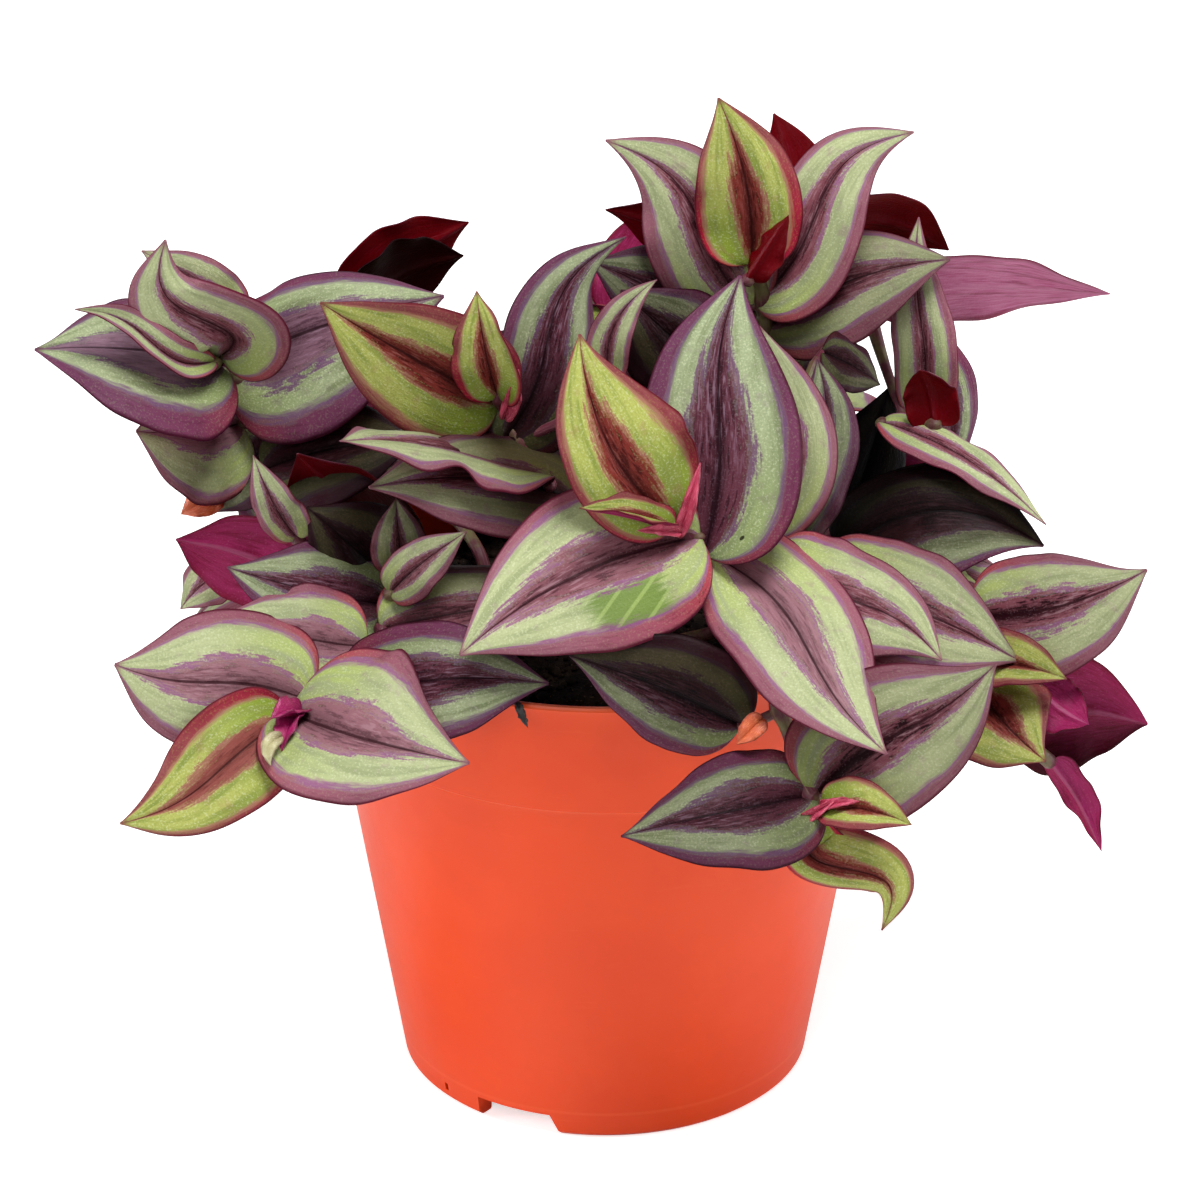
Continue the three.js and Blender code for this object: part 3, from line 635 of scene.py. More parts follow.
def bridge(columns, nearRows, farRows, between):
    # walls between two matching holes of the same closed grid: the two pairs of rows lie
    # opposite each other, the first of one across from the first of the other
    here, following = between[:-1], between[1:]
    walls = []
    for near, far, turned in ((nearRows[0], farRows[0], False), (nearRows[1], farRows[1], True)):
        wall = np.stack([near * columns + here, near * columns + following,
                         far * columns + following, far * columns + here], axis=1)
        walls.append(wall[:, ::-1] if turned else wall)
    for column, turned in ((between[0], True), (between[-1], False)):
        nearLadder = np.arange(min(nearRows), max(nearRows) + 1)
        farLadder = np.arange(min(farRows), max(farRows) + 1)
        if (nearRows[0] < nearRows[1]) != (farRows[0] < farRows[1]):
            farLadder = farLadder[::-1]
        wall = np.stack([nearLadder[:-1] * columns + column, nearLadder[1:] * columns + column,
                         farLadder[1:] * columns + column, farLadder[:-1] * columns + column], axis=1)
        if nearRows[0] > nearRows[1]:
            turned = not turned
        walls.append(wall[:, ::-1] if turned else wall)
    return np.concatenate(walls)


def makePot(material):
    # the profile turned about the pot's axis; in the notches the foot is drawn up to the
    # underside, one side of each notch slants, and slots and slit are holes whose borders are
    # joined through the wall
    shape = potShape
    profile = potProfile()
    degrees = potAngles()
    rows, columns = len(profile), len(degrees)
    radius = np.repeat(profile[:, :1], columns, axis=1)
    height = np.repeat(profile[:, 1:], columns, axis=1)
    angle = np.repeat(degrees[None, :], rows, axis=0)
    half, slant = footDegrees(shape["notchWidth"] / 2), footDegrees(shape["notchSlant"])
    foot = shape["footHeight"]
    below = np.clip((foot - height) / foot, 0, 1)
    for notch in shape["notchAngles"]:
        off = (angle - notch + 180) % 360 - 180
        inNotch = np.abs(off) < half
        lean = np.clip(1 - np.abs(off - half) / shape["notchOverrun"], 0, 1)
        angle = angle + lean * slant * below
        lower = (height < foot) & inNotch
        height = np.where(lower, foot - 0.0008 * (foot - height), height)
    turn = np.radians(angle)
    points = np.stack([radius * np.sin(turn), -radius * np.cos(turn), height], axis=-1)
    points = points.reshape(-1, 3)
    faces = gridFaces(rows, columns, closed=True)
    keep = np.ones(len(faces), dtype=bool)
    walls = []

    def rowAt(targetRadius, targetHeight):
        away = np.abs(profile - [targetRadius, targetHeight]).sum(axis=1)
        return int(np.argmin(away))

    def columnsBetween(low, high):
        off = (degrees - (low + high) / 2 + 180) % 360 - 180
        inside = np.flatnonzero(np.abs(off) <= (high - low) / 2 + 1e-6)
        return inside[np.argsort(off[inside])]

    def cut(nearRows, farRows, low, high):
        between = columnsBetween(low, high)
        marked = np.zeros(columns, dtype=bool)
        marked[between[:-1]] = True
        cellRow = np.repeat(np.arange(rows - 1), columns)
        cellColumn = np.tile(np.arange(columns), rows - 1)
        for first, second in (nearRows, farRows):
            inRows = (cellRow >= min(first, second)) & (cellRow < max(first, second))
            keep[inRows & marked[cellColumn]] = False
        walls.append(bridge(columns, nearRows, farRows, between))

    floor = foot + shape["baseThickness"]
    for notch in shape["notchAngles"]:
        cut((rowAt(shape["slotInner"], foot), rowAt(shape["slotOuter"], foot)),
            (rowAt(shape["slotInner"], floor), rowAt(shape["slotOuter"], floor)),
            notch - shape["slotAngle"] / 2, notch + shape["slotAngle"] / 2)
    slit = footDegrees(shape["slitWidth"] / 2)
    cut((rowAt(footInnerRadius(), shape["slitTop"]),
         rowAt(footInnerRadius(), shape["slitBottom"])),
        (rowAt(potRadius(shape["slitTop"]), shape["slitTop"]),
         rowAt(potRadius(shape["slitBottom"]), shape["slitBottom"])),
        shape["slitAngle"] - slit, shape["slitAngle"] + slit)

    points = np.concatenate([points, [[0, 0, foot], [0, 0, floor]]])
    quads = np.concatenate([faces[keep], *walls])
    return makePiece("potShell", points, [quads, endFaces(rows, columns)], [material], sharp=35)


def makePotMaterial():
    # cloudy plastic, lighter along the step of the band, where the lighter colour is a painted highlight on
    # its edge, and along the foot line, the lip and in long flat scuffs of wear, which are rougher too; the
    # skin has fine dots and slow waves
    looks, shape = potLooks, potShape
    material, tree = newMaterial("orangePlastic")
    grain = useGroup(tree, grainGroup, {"Dots per millimetre": 2.6, "Blotches per millimetre": 0.035})
    place = objectPlace(tree)
    x, y, z = place.split()
    height = z * 1000.0
    onStep = abs(height - (shape["height"] - shape["bandHeight"] + 0.1)).ramp(0.45, 0.1)
    onFoot = abs(height - looks["footLineHeight"]).ramp(0.6, 0.1)
    onLip = height.ramp(shape["height"] - 1.3, shape["height"] - 0.3)
    scuffs = noise(vector(tree, x * 90.0, y * 90.0, z * 900.0), 1.0, 4.0, 0.65).ramp(0.60, 0.78) * 0.16
    # lighter colour: a painted highlight on the step of the band, a lighter foot line and lip, and worn
    # scuffs
    worn = (onStep * 0.22).orMore(onFoot * 0.22).orMore(onLip * 0.5).orMore(scuffs)
    cloudy = grain["Blotches"].ramp(0.35, 0.7) * 0.25
    colour = cloudy.blend(paint(*looks["plastic"]), paint(*looks["deep"]))
    skin = grain["Dots"] * 0.06 + noise(place, 60.0) * 1.6
    return finishMaterial(material, {
        "Base Color": worn.blend(colour, paint(*looks["worn"])),
        "Roughness": grain["Dots"] * 0.12 + (looks["roughness"] - 0.06) + scuffs * 0.9,
        "Specular IOR Level": looks["gloss"], "Normal": bump(skin, 0.25, 0.0006)})


potPiece = makePot(makePotMaterial())
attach(potPiece, "root")
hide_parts("pot")
print("pot made")


# soil

soilShape = {
    "edgeHeight": 96.0, "middleHeight": 98.5, "rings": 70, "sides": 220,
    "radius": 56.0, "lumps": 0.77, "gap": 0.3, "crumbs": 2600, "crumbSize": (0.35, 1.5),
    "crumbInset": 2.6, "seed": 11,
}

soilLooks = {"dark": (14, 10, 8), "light": (40, 29, 22), "fleck": (96, 76, 56), "gloss": 0.1}


def lumpField(x, y, seed, wavelength):
    # a sum of sine waves in random directions, about -1 to 1
    draw = np.random.default_rng(seed)
    heading = draw.uniform(0, 2 * np.pi, 14)
    length = wavelength * draw.uniform(0.45, 1.6, 14)
    phase = draw.uniform(0, 2 * np.pi, 14)
    ahead = x[..., None] * np.cos(heading) + y[..., None] * np.sin(heading)
    return np.sin(ahead * 2 * np.pi / length + phase).sum(axis=-1) / 6


def soilHeight(x, y):
    # the mound from the edge to the middle with lumps of three sizes
    shape = soilShape
    away = np.clip(np.hypot(x, y) / shape["radius"], 0, 1)
    mound = shape["middleHeight"] + (shape["edgeHeight"] - shape["middleHeight"]) * away ** 2
    sizes = ((1, 17, 0.9), (2, 6, 0.55), (3, 2.4, 0.3))
    lumps = sum(part * lumpField(x, y, seed, length) for seed, length, part in sizes)
    return mound + shape["lumps"] * lumps


def makeSoil(material):
    # rings of the mound from the middle outwards, then rings down the side and underneath
    shape, gap = soilShape, soilShape["gap"]
    edge = potRadius(shape["edgeHeight"]) - potShape["wall"] - 2 * gap
    bottom = potShape["footHeight"] + potShape["baseThickness"] + gap
    radius = np.linspace(0.6, edge, shape["rings"])
    turn = np.arange(shape["sides"]) * 2 * np.pi / shape["sides"]
    x = radius[:, None] * np.sin(turn)
    y = -radius[:, None] * np.cos(turn)
    surface = np.stack([x, y, soilHeight(x, y)], axis=-1)
    height = np.linspace(shape["edgeHeight"] - 2.5, bottom + 1.2, 12)
    wide = potRadius(height) - potShape["wall"] - gap - 0.1
    wide, height = np.append(wide, [wide[-1] - 1.0, 2.0]), np.append(height, [bottom, bottom])
    side = np.stack([wide[:, None] * np.sin(turn), -wide[:, None] * np.cos(turn),
                     np.repeat(height[:, None], len(turn), axis=1)], axis=-1)
    grid = np.concatenate([surface, side])
    rows, columns = grid.shape[:2]
    faces = gridFaces(rows, columns, closed=True)[:, ::-1]
    middle = soilHeight(np.zeros(1), np.zeros(1))[0]
    points = np.concatenate([grid.reshape(-1, 3), [[0, 0, middle], [0, 0, bottom]]])
    return makePiece("soilMound", points, [faces, endFaces(rows, columns)[:, ::-1]], [material])


def makeCrumbs(material):
    # twenty-sided lumps, each stretched and turned its own way, half sunk in the soil
    shape = soilShape
    draw = np.random.default_rng(shape["seed"])
    count = shape["crumbs"]
    golden = (1 + 5 ** 0.5) / 2
    corners = np.array([[-1, golden, 0], [1, golden, 0], [-1, -golden, 0], [1, -golden, 0],
                        [0, -1, golden], [0, 1, golden], [0, -1, -golden], [0, 1, -golden],
                        [golden, 0, -1], [golden, 0, 1], [-golden, 0, -1], [-golden, 0, 1]])
    sides = np.array([[0, 11, 5], [0, 5, 1], [0, 1, 7], [0, 7, 10], [0, 10, 11], [1, 5, 9],
                      [5, 11, 4], [11, 10, 2], [10, 7, 6], [7, 1, 8], [3, 9, 4], [3, 4, 2],
                      [3, 2, 6], [3, 6, 8], [3, 8, 9], [4, 9, 5], [2, 4, 11], [6, 2, 10],
                      [8, 6, 7], [9, 8, 1]])
    corners = unit(corners)
    edge = potRadius(shape["edgeHeight"]) - shape["crumbInset"]
    away = edge * np.sqrt(draw.uniform(0, 1, count))
    turn = draw.uniform(0, 2 * np.pi, count)
    x, y = away * np.cos(turn), away * np.sin(turn)
    small, large = shape["crumbSize"]
    size = small + (large - small) * draw.uniform(0, 1, count) ** 2.5
    stretch = size[:, None] * draw.uniform(0.55, 1.25, (count, 3))
    rough = 1 + draw.uniform(-0.22, 0.22, (count, 12, 1))
    local = corners[None] * rough * stretch[:, None, :]
    first = unit(draw.normal(size=(count, 3)))
    second = unit(np.cross(first, draw.normal(size=(count, 3))))
    turned = local @ np.stack([first, second, np.cross(first, second)], axis=1)
    centre = np.stack([x, y, soilHeight(x, y) + size * 0.35], axis=1)
    points = (turned + centre[:, None]).reshape(-1, 3)
    faces = (sides[None] + 12 * np.arange(count)[:, None, None]).reshape(-1, 3)
    return makePiece("soilCrumbs", points, [faces], [material])


def makeSoilMaterial():
    # dark and lighter brown by soft blotches, with pale flecks
    looks = soilLooks
    material, tree = newMaterial("pottingSoil")
    grain = useGroup(tree, grainGroup, {"Dots per millimetre": 1.2, "Blotches per millimetre": 0.2})
    dots = grain["Dots"]
    colour = grain["Blotches"].ramp(0.35, 0.75).blend(paint(*looks["dark"]), paint(*looks["light"]))
    return finishMaterial(material, {
        "Base Color": (dots.ramp(0.68, 0.78) * 0.6).blend(colour, paint(*looks["fleck"])),
        "Roughness": 1.0 - dots * 0.2, "Specular IOR Level": looks["gloss"],
        "Normal": bump(dots, 0.8, 0.0006)})


soilMaterial = makeSoilMaterial()
for soilPiece in (makeSoil(soilMaterial), makeCrumbs(soilMaterial)):
    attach(soilPiece, "root")
    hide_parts("soil")
print("soil made")


# leaves

leafShape = {
    "steps": 52, "columns": 27, "thickness": 0.55, "rimThickness": 0.22,
    "claspFold": 35.0, "claspReach": 0.25, "keel": 0.45, "keelWidth": 0.7,
    "groove": 0.28, "grooveWidth": 0.55, "veinRidge": 0.05, "veins": 4.5,
    # half width along the leaf, from base to tip
    "outline": [[0.0, 0.10], [0.02, 0.36], [0.05, 0.58], [0.10, 0.79], [0.16, 0.91], [0.24, 0.985],
                [0.34, 1.0], [0.45, 0.97], [0.56, 0.885], [0.66, 0.76], [0.75, 0.60], [0.83, 0.42],
                [0.90, 0.245], [0.95, 0.125], [0.985, 0.045], [1.0, 0.018]],
}


# A leaf runs from base to tip, its upper side looks the way of faces, and wide is its full
# width. Arch, sway, snake, curl and ripple are in millimetres; fold, bend, twist and the roll
# of each border in degrees; the rest are parts of one. A leaf with own is a solid of its own
# in the frame, and one without it is part of its stem there. This is what a leaf has where
# its row says nothing else.
# Shade is painted shade, from none at 0 to nearly black at 2, and shadeSide paints more of it on one half
# than the other; depth takes the underside from a painted silvery sheen through lit magenta to deep
# crimson, partly its own colour and partly painted shade.
usualLeaf = {
    "own": True, "arch": 3, "sway": 0, "snake": 0, "fold": 14, "bend": 40, "twist": 0, "curl": 0,
    "ripple": 0.5, "lean": 0, "lobe": 0.12, "roll": (0, 0), "rollFrom": 0, "rollTo": 0.45,
    "shade": 0.3, "shadeSide": 0, "depth": 0.6, "patch": 0, "spot": 0, "flush": 0.15, "fade": 0,
}


def leaf(base, tip, faces, wide, tone, **changes):
    return {**usualLeaf, "base": base, "tip": tip, "faces": faces, "wide": wide, "tone": tone,
            **changes}


def smoothLine(knots, at):
    # a curve through [place, value] pairs with slopes taken from their neighbours: between two
    # pairs, each one's value and slope count for less the nearer the other one is
    place, value = np.array(knots, dtype=float).T
    slope = np.gradient(value, place)
    index = np.clip(np.searchsorted(place, at, side="right") - 1, 0, len(place) - 2)
    following = index + 1
    width = place[following] - place[index]
    part = (at - place[index]) / width
    rest = 1 - part
    return ((value[index] * (1 + 2 * part) + slope[index] * width * part) * rest ** 2
            + (value[following] * (1 + 2 * rest) - slope[following] * width * rest) * part ** 2)


def leafSurface(row):
    # Along the leaf the middle line is the straight line from base to tip, raised by
    # arch 4u(1-u), pushed sideways by sway 4u(1-u) and snake sin(2 pi u), with its last
    # third lifted by curl. Across it, each half is a curve that leaves the middle line at
    # the fold angle and turns down by the bend; the turn is summed from the middle outwards,
    # so a roll can be added near the margin. Lobes draw the base's corners back past the stem.
    shape = leafShape
    base, tip = np.array(row["base"], float), np.array(row["tip"], float)
    chord = tip - base
    flatSide = unit(np.cross(chord, np.array(row["faces"], float)))
    flatUp = unit(np.cross(flatSide, chord))
    even = np.linspace(0, 1, shape["steps"])
    u = (0.55 * even + 0.45 * (0.5 - 0.5 * np.cos(np.pi * even)))[:, None]
    rise, wave = 4 * u * (1 - u), np.sin(2 * np.pi * u)
    late = np.clip(u - 0.7, 0, 1) / 0.3
    middle = base + chord * u + flatUp * (row["arch"] * rise + row["curl"] * late ** 2)
    middle = middle + flatSide * (row["sway"] * rise + row["snake"] * wave)
    along = unit(np.gradient(middle, u[:, 0], axis=0))
    up = unit(flatUp - along * (along @ flatUp)[:, None])
    turn = np.radians(row["twist"]) * (u - 0.25)
    side = np.cross(along, up)
    side, up = side * np.cos(turn) - up * np.sin(turn), up * np.cos(turn) + side * np.sin(turn)
    half = row["wide"] / 2 * smoothLine(shape["outline"], u[:, 0])[:, None]

    columns = shape["columns"]
    across = np.linspace(-1, 1, columns)
    reach = np.linspace(0, 1, columns // 2 + 1)
    clasp = np.radians(shape["claspFold"]) * np.clip(1 - u / shape["claspReach"], 0, 1) ** 2
    tilt = np.radians(row["fold"]) + clasp - np.radians(row["bend"]) * reach
    window = smoothStep(row["rollFrom"] - 0.08, row["rollFrom"] + 0.05, u) * (
        1 - smoothStep(row["rollTo"] - 0.12, row["rollTo"] + 0.08, u))
    halves = []
    for sign, amount in ((-1, row["roll"][0]), (1, row["roll"][1])):
        turned = tilt + np.radians(amount) * window * np.clip((reach - 0.62) / 0.38, 0, 1) ** 1.5
        between = (turned[:, 1:] + turned[:, :-1]) / 2
        out, high = [np.hstack([np.zeros_like(u), np.cumsum(part * np.diff(reach), axis=1)])
                     for part in (np.cos(between), np.sin(between))]
        halves.append((sign * (1 + sign * row["lean"]) * out, high))
    out, high = [np.hstack([left[:, :0:-1], right]) * half for left, right in zip(*halves)]

    off = np.abs(across)
    draw = np.random.default_rng(int(abs(row["base"][0]) * 31 + abs(row["tip"][1]) * 7 + row["wide"]))
    phase = draw.uniform(0, 2 * np.pi, 4)
    edgeWave = (np.sin(2 * np.pi * (2.1 * u + 0.15 * across) + phase[0])
                + 0.6 * np.sin(2 * np.pi * 3.7 * u * np.sign(across) + phase[1]))
    high = high + row["ripple"] * edgeWave * off ** 3 * np.sin(np.pi * np.clip(u, 0, 1)) ** 0.7
    veins = np.cos(2 * np.pi * shape["veins"] * off)
    high = high + shape["veinRidge"] * veins * np.clip(half / 10, 0, 1)
    groove = np.exp(-(off * half / shape["grooveWidth"]) ** 2)
    high = high - shape["groove"] * groove * np.clip(half / 4, 0, 1)
    points = middle[:, None] + side[:, None] * out[..., None] + up[:, None] * high[..., None]
    back = row["lobe"] * half * off ** 1.5 * np.clip(1 - u / 0.45, 0, 1) ** 1.5
    points = points - along[:, None] * back[..., None]
    return points, u[:, 0], across, half


# the middle and half sizes of the plant, and the most painted shade that its middle gets
plantShape = {"middle": [0.0, 5.0, 118.0], "halfSizes": [78.0, 68.0, 64.0], "shade": 0.9}


def insidePlant(points):
    # how much painted shade a point gets for lying deep in the plant: 0 in the outer leaves and 1 near the
    # middle of the plant, by the length of the vector from the middle divided by the half sizes of the
    # plant
    away = np.linalg.norm((points - plantShape["middle"]) / plantShape["halfSizes"], axis=-1)
    return 1 - smoothStep(0.45, 0.9, away)


def leafShell(row, number):
    # the surface thickened to both sides, with a keel under the middle line, and closed
    # round its border; its marks are the values that the materials read
    shape = leafShape
    points, u, across, half = leafSurface(row)
    steps, columns = points.shape[:2]
    normals = unit(np.cross(np.gradient(points, axis=1), np.gradient(points, axis=0)))
    off = np.abs(across)
    thick = shape["rimThickness"] + (shape["thickness"] - shape["rimThickness"]) * (1 - off ** 4)
    ends = np.clip(np.sin(np.pi * (0.06 + 0.94 * u)) * 2.2, 0.35, 1)[:, None]
    thick = np.repeat(thick[None], steps, axis=0) * ends
    keel = shape["keel"] * np.exp(-(off * half / shape["keelWidth"]) ** 2) * (1 - u[:, None]) ** 0.5
    upper = points + normals * (thick / 2)[..., None]
    lower = points - normals * (thick / 2 + keel)[..., None]
    count = steps * columns
    faces = gridFaces(steps, columns)
    border = np.concatenate([np.arange(columns - 1), np.arange(steps - 1) * columns + columns - 1,
                             (steps - 1) * columns + np.arange(columns - 1, 0, -1),
                             np.arange(steps - 1, 0, -1) * columns])
    following = np.roll(border, -1)
    edge = np.stack([border, border + count, following + count, following], axis=1)
    everyFace = np.concatenate([faces, faces[:, ::-1] + count, edge])
    everyPoint = np.concatenate([upper.reshape(-1, 3), lower.reshape(-1, 3)])
    flat = np.stack(np.meshgrid(across / 2 + 0.5, u, indexing="xy"), axis=-1).reshape(-1, 2)
    side = np.concatenate([np.zeros(len(faces)), np.ones(len(faces)), np.zeros(len(edge))])
    everyFlat = np.tile(flat, (2, 1))
    # painted shade: the row's own, more on one half by shadeSide, and more deep inside the plant
    shade = (row["shade"] + row["shadeSide"] * (everyFlat[:, 0] * 2 - 1)
             + plantShape["shade"] * insidePlant(everyPoint))
    marks = {"leafSeed": (number * 0.618) % 1, "leafShade": np.clip(shade, 0, 2),
             "undersideDepth": row["depth"], "leafPatch": row["patch"], "leafSpot": row["spot"],
             "leafFlush": row["flush"], "leafFade": row["fade"]}
    marks = {name: np.broadcast_to(value, len(everyPoint)) for name, value in marks.items()}
    return {"points": everyPoint, "faces": everyFace, "uv": everyFlat, "side": side,
            "marks": marks}


def makeLeafPiece(name, rows, numbers):
    # the shells of one or more leaves in one mesh, with the materials of their tones and,
    # last of all, the underside's
    shells = [leafShell(row, number) for row, number in zip(rows, numbers)]
    starts = np.cumsum([0] + [len(shell["points"]) for shell in shells[:-1]])
    used = [tone for tone in leafTops if any(row["tone"] == tone for row in rows)]
    materials = [leafTops[tone] for tone in used] + [leafUnderside]
    slots = np.concatenate([np.where(shell["side"] > 0, len(used), used.index(row["tone"]))
                            for shell, row in zip(shells, rows)])
    marks = {mark: np.concatenate([shell["marks"][mark] for shell in shells])
             for mark in shells[0]["marks"]}
    faces = np.concatenate([shell["faces"] + start for shell, start in zip(shells, starts)])
    points, uv = [np.concatenate([shell[part] for shell in shells]) for part in ("points", "uv")]
    return makePiece(name, points, [faces], materials, uv=uv, values=marks, slots=slots)


shoots = {}

shoots["front"] = {
    "stem": [[10, -14, 90], [12, -18, 100], [23, -34, 113], [18, -46, 132], [16, -48, 138], [15, -49, 141]],
    "leaves": [
        leaf([18, -49, 139], [-28, -62, 120], [-2, -9, 7], 35, "middle", arch=5, sway=2.5, twist=10,
             lobe=0.2, shade=0.0, patch=1, flush=0.4, fade=0.2),
        leaf([13, -49, 142], [-5, -44, 179], [2, -9, 3], 26, "young", fold=18, sway=-5, lean=0.2,
             lobe=-0.05, roll=(0, 120), shade=0.0, flush=0.3),
        leaf([19, -48, 135], [26, -24, 183], [-2, -9, 3], 33, "old", arch=4, snake=1.5, fold=20,
             bend=32, lobe=0.2, shade=0.1, spot=1),
        leaf([21, -45, 133], [53, -82, 109], [4, -9, 7], 29, "middle", arch=1, sway=-1.5, snake=-2,
             lobe=0.05, shade=0.0, fade=0.6),
        leaf([13, -52, 142], [-5, -60, 150], [0, -3, 9], 9, "young", fold=45, bend=20, arch=1),
        leaf([27, -34, 134], [30, -18, 170], [2, -9, 3], 26, "middle", arch=4, sway=6.5, snake=1.5,
             lean=-0.2, shade=0.3),
        leaf([33, -26, 128], [42, -6, 158], [3, -9, 3], 23, "old", sway=2.5, snake=-1.5, shade=0.4),
        leaf([43, -2, 158], [55, 0, 150], [2, -6, 7], 13, "old", own=False, arch=1, shade=0.8),
        leaf([31, -42, 131], [65, -54, 115], [4, -8, 9], 27, "middle", snake=1.5, shade=0.2),
    ],
}

shoots["crown"] = {
    "stem": [[18, 8, 90], [19, 8, 102], [28, 8, 139], [32, 9, 161], [31, 5, 169], [30, 3, 173]],
    "leaves": [
        leaf([29, 3, 175], [22, 2, 210], [0, -9, 2], 22, "young", arch=1.5, sway=2, bend=48,
             roll=(60, 0), rollTo=0.7, shade=0.0, flush=1.0),
        leaf([28, 8, 164], [0, 8, 199], [-2, -9, 3], 25, "middle", arch=5, sway=5, snake=-2, shade=0.1),
        leaf([30, 8, 165], [61, 10, 200], [-1, -9, 8], 22, "middle", arch=4, sway=-2.5, snake=3,
             bend=50, shade=0.1),
        leaf([32, 10, 158], [69, 10, 173], [2, -9, 8], 25, "middle", arch=4, sway=-2, shade=0.5),
        leaf([32, 18, 169], [34, 32, 196], [3, 9, 2], 21, "middle", sway=-4, depth=1.0, shade=0.2),
        leaf([28, -1, 173], [36, -2, 187], [5, 6, -4], 8, "young", own=False, arch=0, fold=30, bend=10,
             depth=1.0),
        leaf([27, 20, 160], [0, 30, 176], [0, 8, 6], 22, "middle", own=False, sway=-3, depth=1.0),
        leaf([39, 18, 174], [70, 28, 168], [0, 8, 5], 24, "middle", own=False, arch=4, sway=3, depth=1.0,
             shade=0.0),
        leaf([22, 12, 157], [-3, 4, 175], [-2, -7, 7], 24, "old", own=False, shade=0.6),
        leaf([20, 4, 152], [3, -4, 172], [-2, -8, 5], 24, "old", own=False, shade=0.6),
        leaf([28, 8, 139], [42, 38, 150], [1, 5, 8], 28, "middle", own=False, arch=4),
        leaf([28, 8, 138], [8, 36, 142], [-1, 5, 8], 28, "middle", own=False, arch=4),
    ],
}

shoots["mid_left"] = {
    "stem": [[-14, -2, 90], [-13, -4, 101], [-9, -18, 128], [-15, -17, 142], [-20, -14, 150]],
    "leaves": [
        leaf([1, -20, 158], [10, -16, 179], [0, -9, 4], 9, "middle", own=False, sway=-4, fold=30,
             shade=0.3),
        leaf([-21, -16, 153], [-55, -28, 179], [-3, -9, 3], 27, "young", arch=2, bend=16, shade=0.2,
             flush=0.25),
        leaf([-21, -20, 156], [-25, -22, 179], [-3, -9, 2], 15, "young", fold=24, bend=24, sway=0.5,
             roll=(0, 70), rollTo=0.8, shade=0.1, flush=0.8),
        leaf([-20, -17, 145], [4, -6, 184], [3, -9, 3], 23, "old", sway=-4.5, snake=2.5, fold=6,
             bend=54, twist=34, lean=0.2, lobe=0.24, shade=0.2),
        leaf([-11, -24, 139], [-51, -42, 156], [-1, 0, 9], 30, "middle", arch=1.5, sway=4.5,
             ripple=1.2, shade=0.3),
        leaf([-6, -21, 134], [-46, -37, 144], [0, -6, 9], 27, "middle", arch=4, sway=1, shade=0.4),
    ],
}

shoots["upper_left"] = {
    "stem": [[-30, 8, 90], [-32, 8, 101], [-56, 0, 129], [-69, 6, 144], [-77, 3, 155]],
    "leaves": [
        leaf([-52, 20, 158], [-28, 36, 171], [1, 9, 4], 23, "middle", fold=22, arch=2, depth=1.0),
        leaf([-77, 3, 153], [-113, -8, 161], [-2, -6, 9], 36, "old", arch=4, sway=-1, fold=18, bend=34,
             twist=16, lean=-0.2, shade=0.05, fade=0.9),
        leaf([-77, 1, 156], [-86, -10, 185], [-2, -9, 4], 24, "middle", arch=6, sway=1.5, snake=4.5,
             fold=22, bend=26, twist=10, shade=0.1),
        leaf([-78, -5, 157], [-104, -14, 172], [0, -9, 9], 9, "middle", sway=-2, snake=-2, fold=40,
             bend=10, shade=0.2),
        leaf([-74, 6, 162], [-92, 2, 178], [-2, -8, 5], 13, "middle", own=False, sway=1, shade=0.1),
        leaf([-76, 9, 150], [-32, -2, 170], [1, -9, 8], 36, "old", arch=5.5, fold=8, bend=48,
             lean=0.2, shade=0.05, fade=0.5),
        leaf([-74, 6, 139], [-93, -14, 146], [0, -9, 4], 31, "middle", arch=1, sway=-1, shade=0.0,
             fade=0.8),
        leaf([-66, 6, 136], [-80, 2, 121], [-2, -7, 7], 20, "old", own=False, shade=0.7),
        leaf([-56, 0, 129], [-66, 34, 134], [-2, 5, 8], 27, "middle", own=False, arch=4),
        # a leaf below the first one, painted near black with painted shade
        leaf([-50, 14, 160], [-29, 30, 166], [1, 9, 4], 26, "old", own=False, shade=1.0, depth=1.0),
    ],
}

shoots["lower_left"] = {
    "stem": [[-26, -22, 90], [-27, -24, 101], [-40, -40, 112], [-51, -50, 109], [-62, -58, 103]],
    "leaves": [
        leaf([-58, -55, 107], [-94, -66, 120], [-2, -9, 6], 32, "middle", arch=0, snake=1, fold=6,
             bend=50, curl=1, lobe=0.2, shade=0.05, fade=0.6),
        leaf([-61, -60, 106], [-93, -76, 91], [-2, -9, 5], 22, "young", sway=-2.5, snake=1, fold=16,
             bend=32, roll=(0, 60), shade=0.0, flush=0.5, fade=0.7),
        leaf([-61, -59, 106], [-26, -74, 103], [4, -8, 9], 38, "middle", arch=5.5, sway=4, twist=-8,
             lean=-0.2, lobe=0.05, shade=0.05, fade=0.5),
        leaf([-47, -42, 112], [-75, -46, 121], [-1, -7, 9], 26, "middle", arch=2, sway=-2, shade=0.2,
             fade=0.5),
        leaf([-50, -51, 105], [-11, -58, 112], [1, -9, 9], 27, "old", arch=4.5, sway=-1, shade=0.3),
    ],
}

